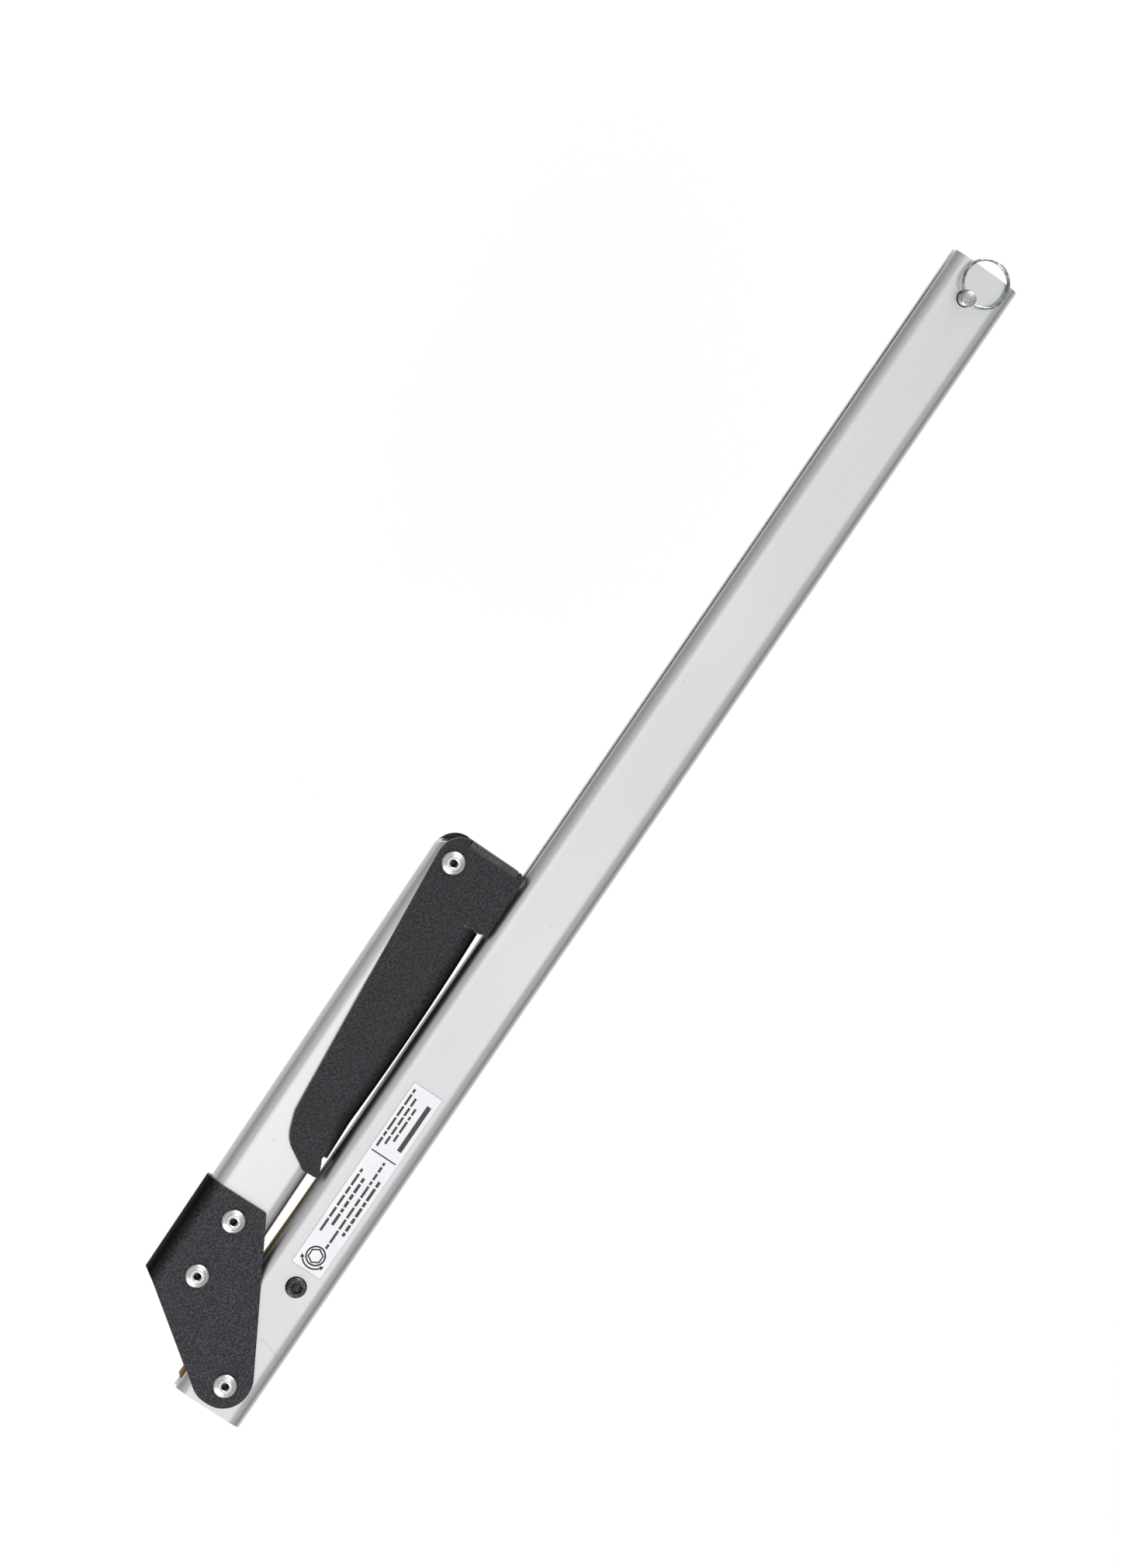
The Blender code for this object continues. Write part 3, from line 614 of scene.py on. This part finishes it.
def tube_body(span, stations, dent=None, section=None, centre_y=0.0):
    """The tube along X with broken end edges. dent(x, y) gives how far the near face is pushed."""
    section = section or wall_section()
    narrow = shrunk(section, 0.15)
    low, high = span
    rings = [(low, narrow), (low + 0.15, section)]
    rings += [(x, section) for x in stations]
    rings += [(high - 0.15, section), (high, narrow)]
    rows = []
    for x, outline in rings:
        row = []
        for y, z in outline:
            lift = dent(x, y) if dent and z > 0 and abs(y) < STRAIGHT else 0.0
            row.append((x, centre_y + y, z + lift))
        rows.append(row)
    return loft(rows)


def make_main_tube(finish):
    span = [(x - JOINTS["frame_hinge"].x) / MM for x in (TUBE_LOW.x, TUBE_HIGH.x)]
    screw_x, screw_y = in_frame(SAW, "screw_turn")
    pin_x, pin_y = in_frame(SAW, "pin_turn")

    def dent(x, y):
        """The face is drawn down round the set screw, most of all beside it."""
        away = math.hypot(x - screw_x, y - screw_y)
        return -0.16 * math.exp(-((away / 6.5) ** 2))

    reach = 18
    stations = [screw_x + step for step in range(-reach, reach + 1)]
    tube = new_object("main_tube_extrusion", tube_body(span, stations, dent), SAW, [finish])
    deep = TUBE_THICKNESS
    carve(
        tube,
        hole(0, 0, SHANK_RADIUS + GAP, -deep, deep),
        hole(pin_x, pin_y, PIN_RADIUS + PIN_PLAY, -deep, deep),
        flared_hole(screw_x, screw_y, SCREW_RADIUS + GAP, HALF, 0.35),
    )
    soften(tube, angle=30.0)
    mount(tube, "handle", "satin_aluminium", "main_tube")


def make_arm_tube(finish):
    body = tube_body(ARM_SPAN, [], section=oval_section(HALF), centre_y=ARM_AXIS_Y)
    tube = new_object("arm_tube_extrusion", body, ARM, [finish])
    deep = TUBE_THICKNESS
    spots = [*BRACKET_RIVETS, in_frame(ARM, "lever_swing")]
    edge = ARM_AXIS_Y + TUBE_WIDTH / 2
    centre = (ARM_SPAN[1] - ARM_TIP_RADIUS, edge - ARM_TIP_RADIUS)
    corner = arc(centre, ARM_TIP_RADIUS, 90, 0, 20)
    corner += [(ARM_SPAN[1] + 5, centre[1]), (ARM_SPAN[1] + 5, edge + 5), (centre[0], edge + 5)]
    inside = oval_section(HALF - WALL)
    bore = loft([[(x, ARM_AXIS_Y + y, z) for y, z in inside] for x in (0, ARM_SPAN[1] + deep)])
    holes = [hole(x, y, SHANK_RADIUS + GAP, -deep, deep) for x, y in spots]
    carve(tube, bore, *holes, prism(corner, -deep, deep))
    soften(tube, angle=30.0)
    mount(tube, "arm", "satin_aluminium", "arm_tube")


# ---------------------------------------------------------------- folded sheet


def folded_sheet(name, matrix, segments, holes, finishes):
    """A channel of sheet metal. segments go round one plate as (points, fold), where fold is None on a free
    edge, or (direction, bend radii, lean) where the sheet folds down. The other half is its mirror image."""
    body = bmesh.new()
    rows = [[body.verts.new((x, y, MID_Z)) for x, y in points] for points, _ in segments]
    rim = [vert for row in rows for vert in row]
    edges = [body.edges.new((rim[i - 1], rim[i])) for i in range(len(rim))]
    for outline in holes:
        ring = [body.verts.new((x, y, MID_Z)) for x, y in outline]
        edges += [body.edges.new((ring[i - 1], ring[i])) for i in range(len(ring))]
    bmesh.ops.triangle_fill(body, use_beauty=True, edges=edges)
    for row, (points, fold) in zip(rows, segments):
        if not fold:
            continue
        direction, radii, lean = fold
        steps = 14
        full = min(radii) > MID_Z - 0.01
        previous = row
        for step in range(1, steps + (1 if full else 2)):
            turn = math.pi / 2 * min(step, steps) / steps
            following = []
            for index, ((x, y), radius) in enumerate(zip(points, radii)):
                reach = radius * math.sin(turn)
                slide = lean * reach * index / (len(points) - 1)
                z = MID_Z - radius * (1 - math.cos(turn)) if step <= steps else 0.0
                spot = (x + direction[0] * reach + slide, y + direction[1] * reach, z)
                following.append(body.verts.new(spot))
            for i in range(len(row) - 1):
                body.faces.new((previous[i], previous[i + 1], following[i + 1], following[i]))
            previous = following
    bmesh.ops.recalc_face_normals(body, faces=body.faces)
    half = body.verts[:] + body.edges[:] + body.faces[:]
    copy = bmesh.ops.duplicate(body, geom=half)["geom"]
    mirrored = [item for item in copy if isinstance(item, bmesh.types.BMVert)]
    for vert in mirrored:
        vert.co.z = -vert.co.z
    bmesh.ops.reverse_faces(body, faces=[item for item in copy if isinstance(item, bmesh.types.BMFace)])
    bmesh.ops.remove_doubles(body, verts=body.verts, dist=1e-4)
    sheet = new_object(name, body, matrix, finishes)
    skin = sheet.modifiers.new("skin", "SOLIDIFY")
    skin.thickness = SHEET * MM
    skin.offset = 0.0
    skin.use_even_offset = True
    skin.material_offset_rim = 1
    settle(sheet)
    soften(sheet, 0.18, 40.0)
    return sheet


def make_bracket(finish, edge):
    bend_y = BRACKET_SPINE_Y - SHEET / 2 - MID_BEND
    slope = (22.9 + 9.7) / (BRACKET_SPINE_Y - 7.0)
    left = 22.9 - (BRACKET_SPINE_Y - bend_y) * slope
    free = rounded([
        (left, bend_y, 0),
        (-9.7, 7.0, BRACKET_ROUND),
        (-9.7, -3.1, BRACKET_ROUND),
        (-3.1, -9.7, BRACKET_ROUND),
        (5.6, -9.7, BRACKET_ROUND),
        (BRACKET_END_X, 24.7, 0.8),
        (BRACKET_END_X, bend_y, 0),
    ])
    count = 24
    bend = [(BRACKET_END_X + (left - BRACKET_END_X) * i / count, bend_y) for i in range(count + 1)]
    fold = ((0, 1), [MID_BEND] * len(bend), slope)
    holes = [arc(spot, SHANK_RADIUS + GAP, 0, 350, 35) for spot in [(0, 0), *BRACKET_RIVETS]]
    segments = [(free[1:-1], None), (bend, fold)]
    sheet = folded_sheet("hinge_bracket_sheet", ARM, segments, holes, [finish, edge])
    mount(sheet, "arm", "black_powder_coat", "hinge_bracket")


def spine_y(x):
    """The lever spine's outer edge, bowed like a shallow arch."""
    share = (x - LEVER_SPAN[0]) / (LEVER_SPAN[1] - LEVER_SPAN[0])
    return LEVER_SPINE_Y - LEVER_BOW * 4 * share * (1 - share)


def make_lever(finish, edge):
    finger = rounded([
        (LEVER_TIP_X, LEVER_FLANGE_Y[1], 0),
        (LEVER_TIP_X, 7.3, 9.3),
        (0.0, 7.3, 12.0),
        (-115.6, -4.0, 14.0),
        (-126.3, -8.2, 12.0),
        (-133.0, -20.0, 1.5),
        (-132.6, -27.4, 1.5),
        (-125.0, -23.6, 0),
    ])
    count = 40
    spine = []
    radii = []
    for i in range(count + 1):
        x = LEVER_SPAN[0] + (LEVER_SPAN[1] - 0.4 - LEVER_SPAN[0]) * i / count
        radius = 0.95 + (MID_BEND - 0.95) * min(1.0, (x - LEVER_SPAN[0]) / 16.0)
        spine.append((x, spine_y(x) + SHEET / 2 + radius))
        radii.append(radius)
    ear_top = spine[-1][1]
    ear = rounded([
        (LEVER_SPAN[1], ear_top, 0),
        (LEVER_SPAN[1], LEVER_EAR_Y, 3.4),
        (LEVER_TIP_X, LEVER_EAR_Y, 3.0),
        (LEVER_TIP_X, LEVER_FLANGE_Y[0] + 0.2, 0),
    ])
    bend_x = LEVER_TIP_X - SHEET / 2 - TIP_BEND
    low, high = LEVER_FLANGE_Y
    flange = [(bend_x, low + 0.2 + (high - low - 0.4) * i / 12) for i in range(13)]
    segments = [
        (finger, None),
        (spine, ((0, -1), radii, 0.0)),
        (ear, None),
        (flange, ((1, 0), [TIP_BEND] * len(flange), 0.0)),
    ]
    holes = [arc((0, 0), SHANK_RADIUS + GAP, 0, 350, 35)]
    sheet = folded_sheet("lever_sheet", LEVER, segments, holes, [finish, edge])
    mount(sheet, "lever", "black_powder_coat", "lever")


# ---------------------------------------------------------------- small turned parts


def rivet_profile():
    """(radius, z) of a set blind rivet: domed flange, raised collar, open bore and swaged tail."""
    under = MID_Z + SHEET / 2 + GAP
    top = under + HEAD_HEIGHT
    tail = -under
    bore = BORE_RADIUS
    dome = [(HEAD_RADIUS - 0.1 - 1.3 * t, under + 0.5 + 0.72 * math.sin(math.pi / 2 * t))
            for t in (0.15, 0.4, 0.7, 1.0)]
    return [
        (0.0, tail + 0.6),
        (bore, tail + 0.6),
        (bore, top - 0.5),
        (bore + 0.06, top - 0.25),
        (bore + 0.25, top - 0.08),
        (bore + 0.55, top),
        (2.65, top),
        (3.0, top - 0.1),
        (3.2, top - 0.3),
        (3.32, under + 1.24),
        *reversed(dome),
        (HEAD_RADIUS, under + 0.3),
        (HEAD_RADIUS, under + 0.12),
        (HEAD_RADIUS - 0.12, under),
        (SHANK_RADIUS, under),
        (SHANK_RADIUS, tail),
        (TAIL_RADIUS - 0.25, tail),
        (TAIL_RADIUS, tail - 0.25),
        (TAIL_RADIUS - 0.05, tail - 0.8),
        (TAIL_RADIUS - 0.45, BASE_Z + 0.2),
        (TAIL_RADIUS - 0.9, BASE_Z),
        (0.0, BASE_Z),
    ]


def make_rivet(name, spot, metal, stub_metal):
    x, y = spot
    place = ARM @ Matrix.Translation((x * MM, y * MM, 0))
    head = new_object(f"{name}_rivet_body", turned(rivet_profile()), place, [metal])
    soften(head, angle=50.0)
    radius = BORE_RADIUS - 0.25
    high = MID_Z + SHEET / 2 - 1.2
    low = 1.0 - MID_Z - SHEET / 2
    steps = 40
    rows = [(0.0, low), (radius - 0.15, low), (radius, low + 0.2), (radius, high - 0.7)]
    rows += [(radius - 0.2, high - 0.35), (radius * 0.6, high - 0.2), (radius * 0.3, high - 0.05)]
    rows.append((0.0, high))
    stub = turned(rows, steps)
    for vert in stub.verts:
        if vert.co.z > high - 0.6:
            vert.co.z += 0.16 * math.sin(vert.co.x * 5.1 + x) * math.cos(vert.co.y * 4.3 + y) - 0.16
    torn = new_object(f"{name}_mandrel_stub", stub, place, [stub_metal])
    soften(torn, angle=60.0)
    return head, torn


def make_rivets(metal, stub_metal):
    spots = {
        "main_pivot": ((0.0, 0.0), "main_pivot_rivet", "main_pivot_mandrel"),
        "bracket_1": (BRACKET_RIVETS[0], "bracket_rivet_1", "bracket_mandrel_1"),
        "bracket_2": (BRACKET_RIVETS[1], "bracket_rivet_2", "bracket_mandrel_2"),
        "lever_pivot": (in_frame(ARM, "lever_swing"), "lever_pivot_rivet", "lever_pivot_mandrel"),
    }
    for name, (spot, rivet_node, stub_node) in spots.items():
        head, torn = make_rivet(name, spot, metal, stub_metal)
        mount(head, "arm", "rivet_aluminium", rivet_node)
        mount(torn, "arm", "mandrel_steel", stub_node)


def make_pin(metal):
    head = -HALF - GAP
    profile = [
        (0.0, PIN_TOP_Z),
        (PIN_RADIUS - 0.5, PIN_TOP_Z),
        (PIN_RADIUS - 0.12, PIN_TOP_Z - 0.22),
        (PIN_RADIUS, PIN_TOP_Z - 0.5),
        (PIN_RADIUS, head),
        (PIN_HEAD_RADIUS - 0.3, head),
        (PIN_HEAD_RADIUS, head - 0.3),
        (PIN_HEAD_RADIUS, BASE_Z + 0.6),
        (PIN_HEAD_RADIUS - 0.15, BASE_Z + 0.2),
        (PIN_HEAD_RADIUS - 0.5, BASE_Z),
        (0.0, BASE_Z),
    ]
    pin = new_object("blade_pin_shaft", turned(profile), PIN, [metal])
    bore = hole(0, 0, PIN_HOLE_RADIUS, -8, 8, 32)
    turn = Matrix.Rotation(RING_ANGLE, 3, "Z") @ Matrix.Rotation(math.pi / 2, 3, "Y")
    bmesh.ops.rotate(bore, cent=(0, 0, 0), matrix=turn, verts=bore.verts)
    carve(pin, moved(bore, z=PIN_HOLE_Z))
    soften(pin, angle=40.0)
    mount(pin, "pin", "pin_steel", "blade_pin")


def make_ring(metal):
    """Nearly two turns of wire through the pin's cross hole."""
    steps = 150
    wire = bpy.data.curves.new("split_ring_wire", "CURVE")
    wire.dimensions = "3D"
    wire.bevel_depth = RING_WIRE * MM
    wire.bevel_resolution = 4
    wire.use_fill_caps = True
    spline = wire.splines.new("POLY")
    spline.points.add(steps)
    for index, point in enumerate(spline.points):
        turn = RING_TURNS * (index / steps - 0.5)
        angle = math.tau * turn
        spot = (RING_RADIUS * math.sin(angle), RING_RADIUS * (1 - math.cos(angle)), RING_PITCH * turn)
        point.co = (*(Vector(spot) * MM), 1.0)
    spline.use_smooth = True
    wire.materials.append(metal)
    ring = bpy.data.objects.new("split_ring_wire", wire)
    bpy.context.collection.objects.link(ring)
    bpy.context.view_layer.update()
    graph = bpy.context.evaluated_depsgraph_get()
    mesh = bpy.data.meshes.new_from_object(ring.evaluated_get(graph))
    mesh.transform(RING @ Matrix.Rotation(-RING_DROOP, 4, "X"))
    mesh.shade_smooth()
    bpy.data.objects.remove(ring, do_unlink=True)
    ring = bpy.data.objects.new("split_ring_wire", mesh)
    bpy.context.collection.objects.link(ring)
    mount(ring, "ring", "ring_zinc", "split_ring")


def make_screw(metal):
    """A set screw with a cut thread and a hexagon socket."""
    low = SCREW_TOP_Z - SCREW_LENGTH
    rows = 110
    body = bmesh.new()
    grid = []
    for row in range(rows + 1):
        z = low + SCREW_LENGTH * row / rows
        ring = []
        for i in range(ROUND):
            phase = (z / SCREW_PITCH - i / ROUND) % 1.0
            ridge = min(1.0, abs(phase - 0.5) * 2.6)
            radius = SCREW_RADIUS - SCREW_DEPTH * ridge
            top_chamfer = SCREW_RADIUS - 0.55 + (SCREW_TOP_Z - z)
            radius = min(radius, top_chamfer, SCREW_RADIUS - 1.4 + (z - low))
            turn = math.tau * i / ROUND
            ring.append(body.verts.new((radius * math.cos(turn), radius * math.sin(turn), z)))
        grid.append(ring)
    for ring, following in zip(grid, grid[1:]):
        for i in range(ROUND):
            j = (i + 1) % ROUND
            body.faces.new((ring[i], ring[j], following[j], following[i]))
    body.faces.new(grid[0])
    body.faces.new(list(reversed(grid[-1])))
    screw = new_object("set_screw_body", body, SCREW, [metal])
    corner = SOCKET_ACROSS / math.sqrt(3)
    mouth = corner + 0.35
    top = SCREW_TOP_Z
    levels = ((0.6, top - 4.0), (corner, top - 3.4), (corner, top - 0.35), (mouth, top), (mouth, top + 2))
    socket = loft([[(x, y, z) for x, y in arc((0, 0), radius, 8, 308, 5)] for radius, z in levels])
    carve(screw, socket)
    soften(screw, angle=38.0)
    mount(screw, "screw", "black_oxide_steel", "set_screw")


# ---------------------------------------------------------------- blade


def blade_outline():
    """About the pin hole: straight back, clipped tangs, and groups of cutting teeth with rakers between."""
    inset = BLADE_INSET
    free = inset - BLADE_LENGTH
    back = BLADE_BACK_Y
    tang = back - BLADE_TANG_WIDTH
    root = back - BLADE_BODY_WIDTH
    tip = root - TOOTH_DEPTH
    shoulder = root - TOOTH_DEPTH * 0.6
    first = free + TOOTH_START
    pitch = TOOTH_PITCH
    teeth = int((BLADE_LENGTH - 2 * TOOTH_START) / pitch)
    points = [(inset - 1.5, back), (free + 1.5, back), (free, back - 1.5)]
    points += [(free, tang + 1.5), (free + 1.5, tang)]
    points += [(free + 22.0, tang), (free + 40.0, shoulder), (first, shoulder)]
    for tooth in range(teeth):
        x = first + pitch * tooth
        raker = tooth % 5 == 4
        points += blend_curve((x + 0.1, root + 1.0), (x + 0.3, root + 1.4), (x + 0.8, root + 1.0), 3)
        if raker:
            points += [(x + 2.0, tip + 0.9), (x + 3.1, root - 1.6), (x + 4.2, tip + 0.9)]
        else:
            points += [(x + pitch / 2 - 0.15, tip), (x + pitch / 2 + 0.15, tip)]
    end = first + pitch * teeth
    points += [(end + 0.3, root + 1.0), (end + 1.2, shoulder), (inset - 40.0, shoulder), (inset - 22.0, tang)]
    points += [(inset - 1.5, tang), (inset, tang + 1.5), (inset, back - 1.5)]
    return points


def make_blade(metal):
    half = BLADE_THICKNESS / 2
    body = prism(blade_outline(), -half, half)
    blade = new_object("blade_strip", body, BLADE, [metal])
    reach = BLADE_LENGTH - 2 * BLADE_INSET
    carve(blade, *[hole(x, 0, BLADE_HOLE_RADIUS, -3, 3) for x in (0, -reach)])
    tip_y = (BLADE_BACK_Y - BLADE_BODY_WIDTH - TOOTH_DEPTH + 0.3) * MM
    for vert in blade.data.vertices:
        if vert.co.y < tip_y:
            side = 1 if round(vert.co.x / (TOOTH_PITCH * MM)) % 2 else -1
            vert.co.z += side * TOOTH_SET * MM
    soften(blade, angle=30.0)
    mount(blade, "blade", "blade_steel", "blade")


# ---------------------------------------------------------------- label


def flat_ring(centre, outer, inner, points, start=0.0, sweep=360.0):
    """Outline pieces of a flat band between two radii, as quads of (x, y)."""
    quads = []
    for i in range(points):
        first = math.radians(start + sweep * i / points)
        last = math.radians(start + sweep * (i + 1) / points)
        quads.append([
            (centre[0] + radius * math.cos(a), centre[1] + radius * math.sin(a))
            for radius, a in ((inner, first), (outer, first), (outer, last), (inner, last))
        ])
    return quads


def bar(x0, y0, x1, y1):
    return [(x0, y0), (x1, y0), (x1, y1), (x0, y1)]


def print_piece(name, shapes, ink, low, thickness):
    """Thin raised shapes of ink on the label."""
    body = bmesh.new()
    for shape in shapes:
        bottom = [body.verts.new((x, y, low)) for x, y in shape]
        top = [body.verts.new((x, y, low + thickness)) for x, y in shape]
        body.faces.new(list(reversed(bottom)))
        body.faces.new(top)
        for i in range(len(shape)):
            j = (i + 1) % len(shape)
            body.faces.new((bottom[i], bottom[j], top[j], top[i]))
    bmesh.ops.remove_doubles(body, verts=body.verts, dist=1e-4)
    made = new_object(name, body, SAW, [ink])
    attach(made, "handle")
    return made


def word_bars(x0, x1, middle, height, seed):
    """Word-length dashes that stand where a line of text would be."""
    shapes = []
    x = x0
    word = seed
    while x < x1 - 1.0:
        word = (word * 7 + 3) % 11
        length = min(1.6 + word * 0.42, x1 - x)
        shapes.append(bar(x, middle - height / 2, x + length, middle + height / 2))
        x += length + 0.75
    return shapes


def make_label(film, black, grey):
    low, high = [(corner - JOINTS["frame_hinge"]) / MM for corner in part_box("instruction_label")]
    corners = ((low.x, low.y), (high.x, low.y), (high.x, high.y), (low.x, high.y))
    outline = rounded([(x, y, 0.6) for x, y in corners])
    label = new_object("instruction_label_film", prism(outline, low.z, low.z + 0.1), SAW, [film])
    soften(label, angle=30.0)
    mount(label, "handle", "label_film", "instruction_label")
    ink_z = low.z + 0.1 + 0.01
    ink = 0.03
    inset = 0.12
    rim = 0.1
    x0, x1, y0, y1 = low.x + inset, high.x - inset, low.y + inset, high.y - inset
    border = [bar(x0, y0, x1, y0 + rim), bar(x0, y1 - rim, x1, y1)]
    border += [bar(x0, y0 + rim, x0 + rim, y1 - rim), bar(x1 - rim, y0 + rim, x1, y1 - rim)]
    print_piece("label_border", border, grey, ink_z, ink)
    middle = (low.y + high.y) / 2
    icon = (low.x + 7.1, middle)
    shapes = flat_ring(icon, 4.15, 3.5, 48) + flat_ring(icon, 3.3, 2.65, 6)
    shapes += flat_ring(icon, 5.6, 5.0, 24, 126.0, 108.0)
    for angle, side in ((126.0, 1), (234.0, -1)):
        a = math.radians(angle)
        tangent = Vector((math.sin(a), -math.cos(a))) * side
        radial = Vector((math.cos(a), math.sin(a)))
        root = Vector(icon) + radial * 5.33
        head = [root + radial * 0.95, root + tangent * 1.5, root - radial * 0.95]
        shapes.append([tuple(point) for point in head])
    divider = low.x + 54.4
    shapes.append(bar(divider - 0.25, middle - 5.8, divider + 0.25, middle + 5.8))
    print_piece("label_icon", shapes, black, ink_z, ink)
    words = []
    for x_start, x_end, offset, height, seed in (
        (16.6, 47.6, 4.35, 1.05, 1), (20.9, 43.4, 1.6, 1.25, 4),
        (11.7, 52.6, -1.75, 1.05, 6), (19.4, 45.2, -4.45, 1.25, 9),
        (56.6, 83.5, 4.9, 1.0, 2), (59.0, 81.0, 2.5, 1.0, 5), (61.6, 78.6, 0.2, 1.0, 8),
    ):
        words += word_bars(low.x + x_start, low.x + x_end, middle + offset, height, seed)
    words.append(bar(low.x + 59.4, middle - 4.9, low.x + 80.6, middle - 2.9))
    print_piece("label_word_bars", words, grey, ink_z, ink)


# ---------------------------------------------------------------- carried-over nodes


def finish_hidden_parts(metal):
    """The spacers and the nut keep their CAD shape and take a turned steel finish."""
    for node in ("bracket_spacer_1", "bracket_spacer_2", "lever_pivot_spacer", "set_screw_nut"):
        made = frame["nodes"][node]
        made.data.materials.clear()
        made.data.materials.append(metal)


# ---------------------------------------------------------------- studio


def make_camera():
    """Above the saw, tipped towards the arm and turned so that the saw lies across the frame."""
    target = SAW @ Vector((269.96 * MM, 23.94 * MM, 0))
    tip = math.radians(12.0)
    roll = math.radians(55.554)
    back = Vector((0, math.sin(tip), math.cos(tip)))
    flat = Vector((1, 0, 0))
    down = Vector((0, math.cos(tip), -math.sin(tip)))
    right = flat * math.cos(roll) - down * math.sin(roll)
    up = flat * math.sin(roll) + down * math.cos(roll)
    camera = bpy.data.objects.new("camera", bpy.data.cameras.new("camera"))
    camera.data.lens = 116.56
    camera.data.sensor_width = 36.0
    turn = Matrix((right, up, back)).transposed().to_4x4()
    camera.matrix_world = Matrix.Translation(target + back * 2.0) @ turn
    bpy.context.collection.objects.link(camera)
    bpy.context.scene.camera = camera


def soft_box(name, place, aim, size, radiance):
    """A rectangular lamp whose face has the given brightness."""
    lamp = bpy.data.lights.new(name, "AREA")
    lamp.shape = "RECTANGLE"
    lamp.size, lamp.size_y = size
    lamp.energy = math.pi * size[0] * size[1] * radiance
    light = bpy.data.objects.new(name, lamp)
    light.location = place
    light.rotation_mode = "QUATERNION"
    light.rotation_quaternion = (Vector(aim) - Vector(place)).to_track_quat("-Z", "Y")
    bpy.context.collection.objects.link(light)


def make_studio(paper):
    size = 6.0
    body = bmesh.new()
    bmesh.ops.create_grid(body, x_segments=8, y_segments=8, size=size / 2 / MM)
    floor = new_object("floor", body, Matrix.Translation((0, 0, FLOOR_Z)), [paper])
    world = bpy.data.worlds.new("studio")
    bpy.context.scene.world = world
    world.use_nodes = True
    tree = world.node_tree
    sky = tree.nodes["Background"]
    place = tree.nodes.new("ShaderNodeTexCoord")
    parts = tree.nodes.new("ShaderNodeSeparateXYZ")
    ramp = tree.nodes.new("ShaderNodeValToRGB")
    walls = ((0.0, 0.36), (0.45, 0.4), (0.8, 0.44), (0.9, 0.5))
    for (height, shade), stop in zip(walls, [*ramp.color_ramp.elements, None, None]):
        stop = stop or ramp.color_ramp.elements.new(height)
        stop.position = height
        stop.color = (shade, shade, shade, 1)
    tree.links.new(place.outputs["Generated"], parts.inputs["Vector"])
    tree.links.new(parts.outputs["Z"], ramp.inputs["Fac"])
    tree.links.new(ramp.outputs["Color"], sky.inputs["Color"])
    sky.inputs["Strength"].default_value = 1.0
    soft_box("top_hinge_end", (-0.85, -0.25, 2.3), (-0.3, 0, 0), (1.7, 2.2), 0.38)
    soft_box("top_ring_end", (0.85, -0.25, 2.3), (0.3, 0, 0), (1.7, 2.2), 0.2)
    soft_box("side_hinge_end", (-2.3, 0, 1.2), (0, 0, 0), (1.6, 1.6), 6.2)
    soft_box("side_ring_end", (2.3, 0, 1.2), (0, 0, 0), (1.6, 1.6), 6.2)
    bpy.context.scene.view_settings.view_transform = "Standard"


# ---------------------------------------------------------------- all of it


def main():
    make_camera()
    make_studio(floor_paper("floor_paper"))
    black = powder_coat("black_powder_coat")
    edge = sheared_edge("sheared_edge")
    make_main_tube(drawn_aluminium("drawn_aluminium_rubbed", rubbed=True))
    make_arm_tube(drawn_aluminium("drawn_aluminium", tone=1.1))
    make_bracket(black, edge)
    make_lever(powder_coat("black_powder_coat_lever", tone=0.7), edge)
    rivet_metal = turned_metal("rivet_metal", (0.9, 0.9, 0.91), (0.8, 0.8, 0.81), 0.27)
    make_rivets(rivet_metal, broken_steel("broken_steel"))
    make_pin(turned_metal("pin_metal", (0.8, 0.79, 0.78), (0.3, 0.29, 0.28), 0.36))
    make_ring(zinc_wire("zinc_wire"))
    make_screw(oxide_steel("oxide_steel"))
    make_blade(golden_blade("golden_blade"))
    make_label(printed_film("label_film"), print_ink("black_ink", (0.03, 0.03, 0.03), (0.008, 0.008, 0.008)),
               print_ink("grey_ink", (0.1, 0.1, 0.1), (0.04, 0.04, 0.04)))
    finish_hidden_parts(turned_metal("sleeve_metal", (0.66, 0.66, 0.65), (0.5, 0.5, 0.49), 0.35))


main()
